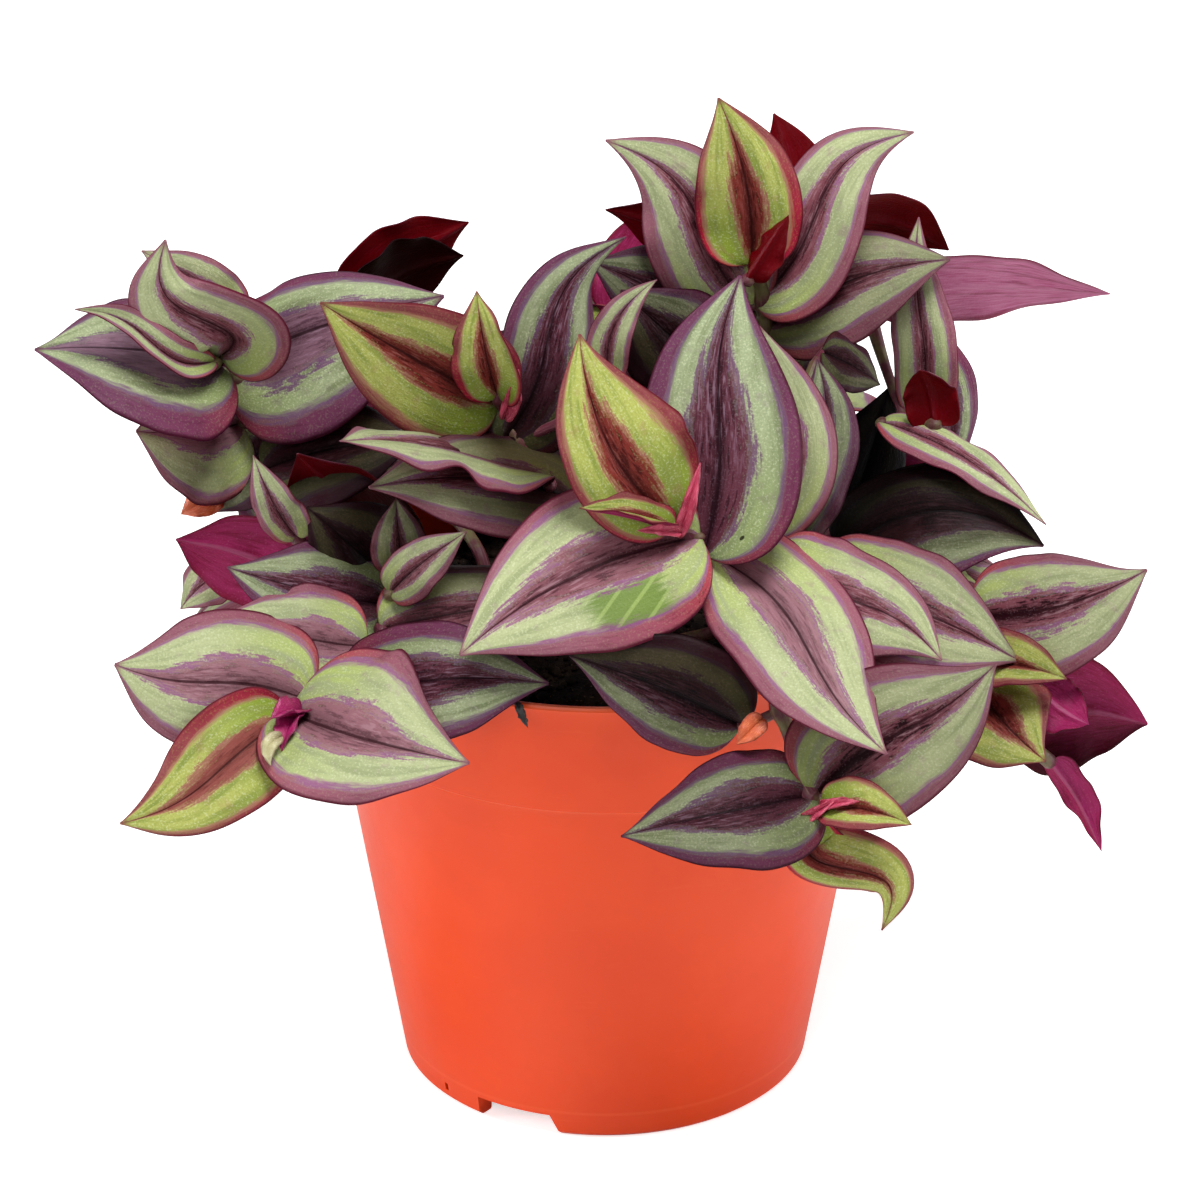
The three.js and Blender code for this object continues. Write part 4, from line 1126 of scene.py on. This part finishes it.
shoots["rim"] = {
    "stem": [[26, -26, 90], [27, -29, 101], [31, -55, 112], [35, -67, 106], [39, -74, 96], [41, -75, 95]],
    "leaves": [
        # painted shade, darker on one half
        leaf([26, -64, 106], [-7, -60, 119], [-1, -9, 1], 24, "old", arch=4, sway=2.5, lobe=0.05,
             shade=0.8, shadeSide=0.5, fade=-0.5),
        leaf([39, -74, 96], [3, -84, 93], [-2, -8, 9], 26, "old", arch=5, sway=-2, twist=20, curl=-1,
             shade=0.5),
        leaf([40, -74, 96], [74, -70, 122], [2, -9, 7], 30, "middle", arch=1.5, snake=-1, shade=0.4,
             fade=-0.6),
        leaf([39, -77, 94], [53, -82, 71], [-3, -9, 6], 15, "young", arch=0.5, sway=-1, snake=5,
             fold=6, bend=54, twist=12, lean=-0.2, roll=(70, 0), shade=0.1, flush=1.0),
        leaf([42, -77, 95], [58, -84, 95], [1, -7, 7], 12, "young", fold=35, bend=20, shade=0.1),
    ],
}

shoots["lower_right"] = {
    "stem": [[34, -6, 90], [35, -7, 101], [55, -20, 112], [71, -30, 104], [79, -36, 97]],
    "leaves": [
        leaf([72, -30, 113], [106, -36, 126], [4, -9, 9], 29, "middle", arch=2.5, sway=3.5, fold=4,
             bend=50, shade=0.3, flush=0.3, fade=-0.5),
        leaf([73, -38, 106], [90, -48, 108], [1, -7, 7], 14, "young", fold=35, bend=20),
        leaf([75, -38, 100], [86, -54, 93], [0, -7, 7], 24, "young", own=False, sway=2, shade=0.3),
        # painted shade, darker on its lower half
        leaf([81, -24, 86], [109, -26, 87], [3, 8, 2], 33, "middle", fold=20, sway=1, depth=0.6,
             shade=0.45, shadeSide=-0.4),
        leaf([85, -40, 102], [95, -46, 97], [2, 6, -7], 12, "old", own=False, depth=0.5),
        leaf([90, -25, 78], [101, -26, 58], [5, 8, 1], 9, "middle", own=False, sway=-1, fold=30, lobe=0.5,
             depth=0.4),
    ],
}

shoots["right"] = {
    "stem": [[34, 14, 90], [35, 14, 101], [50, 14, 114], [58, 16, 131], [61, 13, 137]],
    "leaves": [
        leaf([40, -34, 124], [81, -44, 110], [4, -7, 9], 31, "middle", arch=6.5, sway=2.5, twist=16,
             shade=0.35, fade=-0.4),
        # painted shade, its upper half nearly black
        leaf([48, -4, 115], [88, -12, 120], [1, -9, 8], 28, "old", arch=5, sway=-6.5, lean=0.2,
             shade=1.05, shadeSide=-0.95, flush=0.8),
        leaf([53, 26, 159], [104, 34, 156], [0, 9, 6], 26, "middle", arch=2.5, fold=6, bend=20,
             twist=12, depth=0.12, shade=0.0),
        leaf([64, 14, 137], [63, 18, 179], [-3, -9, 3], 14, "middle", arch=4, sway=1.5, snake=1,
             shade=0.0),
        leaf([64, 24, 149], [70, 22, 120], [3, -9, 2], 15, "old", own=False, sway=-3, shade=0.1),
        leaf([67, 6, 139], [63, 3, 152], [1, 9, 4], 12, "middle", own=False, fold=4, lobe=0.6, depth=1.0),
        leaf([56, 11, 137], [88, -15, 126], [2, -4, 9], 12, "middle", arch=4, shade=0.0),
        # two leaves deep in the plant, painted almost black with painted shade
        leaf([50, 14, 116], [58, 18, 142], [1, -9, 3], 17, "old", own=False, shade=1.8),
        leaf([50, 14, 115], [43, 20, 142], [-1, -9, 3], 17, "old", own=False, shade=1.8),
    ],
}

shoots["inner_left"] = {
    "stem": [[-36, -8, 90], [-37, -10, 101], [-41, -22, 113], [-50, -20, 117], [-61, -14, 121]],
    "leaves": [
        leaf([-61, -23, 127], [-69, -26, 146], [-2, -9, 3], 10, "middle", own=False, shade=0.3),
        leaf([-69, -2, 132], [-37, -8, 141], [0, -5, 8], 28, "old", own=False, shade=0.8),
        leaf([-45, -8, 113], [-61, -16, 142], [2, 9, 3], 28, "middle", own=False, depth=1.0),
        leaf([-43, -20, 115], [-59, -24, 134], [0, -8, 6], 24, "old", own=False, shade=1.0),
        leaf([-40, -32, 125], [-41, -31, 139], [0, -9, 4], 12, "middle", own=False, fold=30, shade=0.6),
        leaf([-42, -38, 122], [-27, -40, 136], [0, -8, 6], 11, "middle", own=False, shade=0.4),
        leaf([-43, -27, 114], [-74, -37, 127], [0, -6, 9], 27, "old", sway=-3, shade=0.3),
        leaf([-44, -40, 115], [-6, -36, 119], [0, -7, 7], 22, "middle", own=False, lobe=0.2, shade=0.3),
        leaf([-59, -14, 112], [-85, -24, 127], [-1, 8, 2], 24, "middle", fold=20, depth=0.5, shade=0.3),
        leaf([-74, -6, 114], [-86, -10, 105], [-5, -8, 3], 12, "middle", own=False, shade=0.3),
    ],
}

shoots["back_left"] = {
    "stem": [[-24, 20, 90], [-26, 24, 101], [-40, 46, 111], [-44, 44, 122], [-42, 40, 130]],
    "leaves": [
        leaf([-43, 40, 130], [-84, 56, 118], [-3, 6, 7], 30, "middle", own=False),
        leaf([-42, 41, 130], [-50, 86, 112], [-1, 8, 6], 31, "middle", own=False),
        leaf([-41, 40, 131], [-16, 70, 130], [3, 7, 6], 28, "young", own=False, arch=5),
        leaf([-42, 40, 132], [-60, 62, 134], [0, 5, 8], 20, "young", own=False),
        leaf([-40, 48, 112], [-60, 84, 92], [-3, 8, 5], 30, "old", own=False, arch=6),
        leaf([-39, 49, 112], [-20, 90, 94], [1, 9, 4], 28, "old", own=False, arch=5),
        leaf([-34, 36, 108], [-60, 30, 122], [-3, 0, 9], 27, "old", own=False),
        leaf([-33, 35, 108], [-12, 50, 121], [1, 3, 9], 27, "middle", own=False),
        leaf([-41, 47, 113], [-76, 52, 100], [-6, 6, 5], 27, "middle", own=False, arch=5),
    ],
}

shoots["back"] = {
    "stem": [[4, 24, 90], [4, 26, 101], [6, 52, 112], [8, 52, 128], [6, 48, 144]],
    "leaves": [
        leaf([6, 49, 144], [-6, 90, 126], [-1, 8, 6], 31, "middle", own=False, arch=4),
        leaf([7, 49, 144], [38, 82, 142], [2, 8, 6], 30, "middle", own=False, arch=4),
        leaf([6, 48, 144], [14, 58, 168], [0, 9, 3], 24, "young", own=False),
        leaf([6, 62, 110], [4, 96, 92], [0, 9, 4], 30, "old", own=False, arch=6),
        leaf([7, 62, 111], [40, 90, 96], [2, 8, 5], 28, "middle", own=False, arch=5),
        leaf([8, 53, 127], [-28, 72, 130], [-2, 7, 7], 29, "old", own=False, arch=4),
        leaf([8, 53, 128], [46, 70, 140], [2, 7, 7], 29, "middle", own=False),
        leaf([6, 49, 143], [-8, 62, 142], [-2, 2, 9], 18, "young", own=False),
        leaf([5, 38, 107], [-22, 36, 120], [-3, 1, 9], 28, "old", own=False),
        leaf([5, 38, 108], [30, 34, 122], [2, 0, 9], 28, "old", own=False),
    ],
}

shoots["back_right"] = {
    "stem": [[26, 22, 90], [28, 25, 101], [44, 42, 112], [45, 42, 124]],
    "leaves": [
        leaf([45, 42, 122], [86, 58, 94], [4, 6, 7], 29, "middle", own=False, arch=6),
        leaf([44, 43, 124], [44, 88, 112], [1, 8, 6], 30, "middle", own=False, arch=4),
        leaf([52, 46, 108], [66, 76, 84], [4, 8, 5], 29, "old", own=False, arch=5),
        leaf([36, 34, 107], [24, 54, 125], [0, 6, 8], 27, "young", own=False),
        leaf([37, 35, 107], [64, 26, 116], [3, 1, 9], 27, "middle", own=False),
    ],
}

shoots["left_side"] = {
    "stem": [[-40, 4, 90], [-44, 5, 101], [-58, 10, 110], [-64, 12, 106]],
    "leaves": [
        leaf([-64, 12, 105], [-90, 14, 80], [-8, 1, 6], 28, "middle", own=False, arch=5),
        leaf([-64, 13, 106], [-80, 44, 88], [-6, 5, 6], 28, "middle", own=False, arch=5),
        leaf([-58, 10, 110], [-74, 30, 120], [-4, 3, 8], 25, "old", own=False),
    ],
}

shoots["right_side"] = {
    "stem": [[42, 2, 90], [45, 3, 101], [58, 8, 110], [64, 10, 106]],
    "leaves": [
        leaf([64, 10, 105], [94, 12, 82], [8, 0, 6], 28, "middle", own=False, arch=5),
        leaf([64, 11, 105], [88, 40, 84], [7, 4, 6], 27, "middle", own=False, arch=5),
        leaf([58, 8, 110], [80, 26, 107], [4, 2, 8], 25, "old", own=False),
    ],
}


def camelName(shoot, ending):
    # mid_left with Stem becomes midLeftStem
    words = shoot.split("_")
    return words[0] + "".join(word.capitalize() for word in words[1:]) + ending


seedNumber = 0
for shoot, parts in shoots.items():
    together, togetherSeeds = [], []
    for number, row in enumerate(parts["leaves"], start=1):
        seedNumber += 1
        if row["own"]:
            piece = makeLeafPiece(camelName(shoot, f"Leaf{number}"), [row], [seedNumber])
            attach(piece, "root")
            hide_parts(f"leaf_{shoot}_{number}")
            "leaf_" + row["tone"]
        else:
            together.append(row)
            togetherSeeds.append(seedNumber)
    if together:
        piece = makeLeafPiece(camelName(shoot, "MoreLeaves"), together, togetherSeeds)
        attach(piece, "root")
        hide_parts(f"stem_{shoot}")
print("leaves made:", seedNumber)


# small curled sheaths and buds

sheathLooks = {
    "pink": {"skin": (184, 56, 88), "streak": (220, 128, 144), "shadow": (120, 8, 36)},
    "magenta": {"skin": (150, 18, 84), "streak": (186, 60, 120), "shadow": (84, 2, 38)},
    "cream": {"skin": (188, 182, 138), "streak": (214, 208, 176), "shadow": (120, 96, 70)},
    "amber": {"skin": (190, 84, 46), "streak": (214, 130, 82), "shadow": (110, 26, 18)},
    "dried": {"skin": (12, 7, 7), "streak": (26, 18, 14), "shadow": (4, 2, 2)},
}


def sheath(node, colour, base, tip, faces, wide, **changes):
    # a narrow folded leaf of a single colour, which grows on the node
    row = leaf(base, tip, faces, wide, "young", **{"arch": 1, "lobe": 0, "bend": 10, **changes})
    return node, colour, row


sheaths = {
    "frontRoll": sheath("stem_front", "pink", [14, -51, 140], [18, -50, 155], [0, -9, 2], 5,
                        fold=60),
    "frontBud": sheath("stem_front", "pink", [14, -52, 141], [6, -57, 144], [-1, -8, 6], 4,
                       fold=55),
    "middleLeftRoll": sheath("stem_mid_left", "pink", [-20, -21, 152], [-17, -23, 163],
                             [2, -9, 2], 5, fold=50),
    "rimRoll": sheath("stem_rim", "pink", [38, -78, 93], [44, -81, 99], [-3, -9, 3], 4, fold=60),
    "rimSideSheath": sheath("stem_rim", "pink", [41, -79, 96], [48, -82, 99], [1, -8, 7], 3,
                            fold=50),
    "rimSheath": sheath("stem_rim", "amber", [30, -69, 110], [25, -72, 106], [-2, -9, 4], 5,
                        fold=30, bend=20),
    "lowerLeftBud": sheath("stem_lower_left", "magenta", [-59, -62, 107], [-64, -69, 110],
                           [-2, -6, 8], 7, fold=50, bend=20),
    "lowerLeftLowBud": sheath("stem_lower_left", "magenta", [-59, -62, 107], [-62, -71, 104],
                              [-3, -5, 8], 7, fold=50, bend=20),
    "lowerLeftSheath": sheath("stem_lower_left", "cream", [-62, -69, 106], [-64, -73, 102],
                              [-1, -9, 2], 4, sway=1.5, fold=50, bend=30),
    "hangingScrap": sheath("leaf_lower_left_5", "dried", [-17, -60, 109], [-15, -63, 105],
                           [0, -9, 2], 1.6, fold=30, bend=40),
    "upperLeftScrap": sheath("stem_upper_left", "amber", [-78, 2, 126], [-86, -1, 122],
                             [-1, -9, 3], 7, fold=20, bend=40),
}


def makeSheathMaterial(name):
    # one skin colour, shadowed at the base and the border, with paler streaks along it
    skin, streak, shadow = [paint(*sheathLooks[name][part]) for part in ("skin", "streak", "shadow")]
    material, tree = newMaterial(name + "Sheath")
    fields = leafFields(tree)
    colour = (fields["Along"].ramp(0.45, 0.0) * 0.7).blend(skin, shadow)
    colour = fields["Fine streaks"].ramp(0.5, 0.7).blend(colour, streak)
    colour = (fields["Off middle"].ramp(0.8, 1.0) * 0.6).blend(colour, shadow)
    return finishMaterial(material, {
        "Base Color": colour, "Roughness": fields["Dots"] * 0.2 + 0.3,
        "Normal": bump(fields["Fine streaks"], 0.4)})


sheathMaterials = {name: makeSheathMaterial(name) for name in sheathLooks}
for number, (name, (node, colour, row)) in enumerate(sheaths.items()):
    shell = leafShell(row, number)
    piece = makePiece(name, shell["points"], [shell["faces"]], [sheathMaterials[colour]],
                      uv=shell["uv"], values={"leafSeed": shell["marks"]["leafSeed"]})
    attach(piece, "root")
    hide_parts(node)
print("sheaths made:", len(sheaths))


# stems

stemShape = {
    "radius": 1.35, "nodeSwelling": 0.75, "nodeLength": 2.2, "sides": 18, "steps": 90,
    "tipRounding": 1.6, "sideRadius": 1.05, "sheathRadius": 1.55, "sideSteps": 16,
    "sag": 0.06, "overrun": 1.2,
}

stemLooks = {
    "mauve": (84, 36, 48), "green": (96, 90, 56), "pale": (140, 100, 104), "roughness": 0.42,
    "gloss": 0.25,
}


def stemPath(knots, at):
    # a cubic curve from each knot to the next, with slopes from the neighbouring knots, each
    # weighed by the square root of its distance
    knots = np.array(knots, dtype=float)
    ends = np.concatenate([[2 * knots[0] - knots[1]], knots, [2 * knots[-1] - knots[-2]]])
    place = at * (len(knots) - 1)
    index = np.clip(place.astype(int), 0, len(knots) - 2)
    part = (place - index)[:, None]
    p0, p1, p2, p3 = ends[index], ends[index + 1], ends[index + 2], ends[index + 3]
    d0, d1, d2 = [np.linalg.norm(after - before, axis=1)[:, None] ** 0.5
                  for before, after in ((p0, p1), (p1, p2), (p2, p3))]
    start = ((p1 - p0) / d0 - (p2 - p0) / (d0 + d1) + (p2 - p1) / d1) * d1
    end = ((p2 - p1) / d1 - (p3 - p1) / (d1 + d2) + (p3 - p2) / d2) * d1
    return (p1 + start * part + (3 * p2 - 3 * p1 - 2 * start - end) * part ** 2
            + (2 * p1 - 2 * p2 + start + end) * part ** 3)


def tubeAlong(path, radii, sides):
    # a circle of changing radius carried along a path, closed at both ends
    tangent = unit(np.gradient(path, axis=0))
    helper = np.eye(3)[np.argmin(np.abs(tangent).max(axis=0))]
    first = unit(np.cross(tangent, helper))
    second = np.cross(tangent, first)
    turn = np.arange(sides) * 2 * np.pi / sides
    ring = first[:, None] * np.cos(turn)[:, None] + second[:, None] * np.sin(turn)[:, None]
    points = (path[:, None] + ring * radii[:, None, None]).reshape(-1, 3)
    points = np.concatenate([points, path[:1], path[-1:]])
    flat = np.meshgrid(turn / (2 * np.pi), np.linspace(0, 1, len(path)), indexing="xy")
    flat = np.concatenate([np.stack(flat, axis=-1).reshape(-1, 2), [[0.5, 0], [0.5, 1]]])
    return points, gridFaces(len(path), sides, closed=True), endFaces(len(path), sides), flat


def makeStemPiece(shoot, parts, material):
    # the stem swells by a bell curve where each leaf grows; a leaf that starts away from the
    # stem gets a side stem, which sags a little and widens towards the leaf
    shape = stemShape
    at = np.linspace(0, 1, shape["steps"])
    path = stemPath(parts["stem"], at)
    bases = np.array([row["base"] for row in parts["leaves"]], dtype=float)
    nearest = np.linalg.norm(path[None] - bases[:, None], axis=2).argmin(axis=1)
    length = np.concatenate([[0], np.cumsum(np.linalg.norm(np.diff(path, axis=0), axis=1))])
    swelling = np.exp(-((length[:, None] - length[nearest][None]) / shape["nodeLength"]) ** 2).max(axis=1)
    radii = shape["radius"] + shape["nodeSwelling"] * swelling
    left = length[-1] - length
    radii = radii * np.sqrt(np.clip(left / shape["tipRounding"], 0.02, 1))
    tubes = [tubeAlong(path, radii, shape["sides"])]
    for base, spot in zip(bases, nearest):
        start = path[spot]
        away = np.linalg.norm(base - start)
        if away < 1.0:
            continue
        part = np.linspace(0, 1, shape["sideSteps"])[:, None]
        sag = np.array([0, 0, -shape["sag"] * away]) * np.sin(np.pi * part)
        sidePath = start + (base - start) * part * (1 + shape["overrun"] / away) + sag
        part = part[:, 0]
        growth = (shape["sheathRadius"] - shape["sideRadius"]) * smoothStep(0.35, 0.9, part)
        rounding = np.sqrt(np.clip((1 - part) * away / shape["overrun"], 0.02, 1))
        tubes.append(tubeAlong(sidePath, (shape["sideRadius"] + growth) * rounding, shape["sides"]))
    points, quads, fans, flat = zip(*tubes)
    starts = np.cumsum([0] + [len(block) for block in points[:-1]])
    faces = [np.concatenate([block + start for block, start in zip(blocks, starts)])
             for blocks in (quads, fans)]
    return makePiece(camelName(shoot, "Stem"), np.concatenate(points), faces, [material],
                     uv=np.concatenate(flat))


def makeStemMaterial():
    # mauve and green blotches with paler lines that run along the stem
    mauve, green, pale = [paint(*stemLooks[name]) for name in ("mauve", "green", "pale")]
    material, tree = newMaterial("stemSkin")
    grain = useGroup(tree, grainGroup, {"Dots per millimetre": 1.4, "Blotches per millimetre": 0.22})
    flat = put(tree, "ShaderNodeUVMap", uv_map="surfaceMap").split()
    ring = flat[0] * (2 * math.pi)
    circle = [ring.math(name, ring) * 3.0 for name in ("SINE", "COSINE")]
    lines = noise(vector(tree, *circle, flat[1] * 4.0), 1.5, 3.0, 0.6)
    colour = grain["Blotches"].ramp(0.4, 0.65).blend(mauve, green)
    return finishMaterial(material, {
        "Base Color": (lines.ramp(0.5, 0.75) * 0.4).blend(colour, pale),
        "Roughness": grain["Dots"] * 0.2 + (stemLooks["roughness"] - 0.1),
        "Specular IOR Level": stemLooks["gloss"], "Normal": bump(lines, 0.5)})


stemMaterial = makeStemMaterial()
for shoot, parts in shoots.items():
    piece = makeStemPiece(shoot, parts, stemMaterial)
    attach(piece, "root")
    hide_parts(f"stem_{shoot}")
print("stems made:", len(shoots))


# floor

floorLooks = {
    "radius": 12000.0, "sides": 96, "colour": (250, 250, 250), "glow": (206, 206, 206),
    "roughness": 0.9,
}


def makeFloor():
    # a flat disc with a little of its own light, which only the camera sees, so the shadow
    # under the pot stays faint
    looks = floorLooks
    material, tree = newMaterial("paleFloor")
    finishMaterial(material, {
        "Base Color": paint(*looks["colour"]), "Roughness": looks["roughness"],
        "Emission Color": paint(*looks["glow"]),
        "Emission Strength": put(tree, "ShaderNodeLightPath", output="Is Camera Ray")})
    corner = np.arange(looks["sides"])
    turn = corner * 2 * np.pi / looks["sides"]
    ring = np.stack([np.cos(turn), np.sin(turn), corner * 0], axis=1) * looks["radius"]
    floor = makePiece("floor", ring, [corner[None, :]], [material])


makeFloor()
makeCamera()
makeLights()
print("floor, camera and lights made")
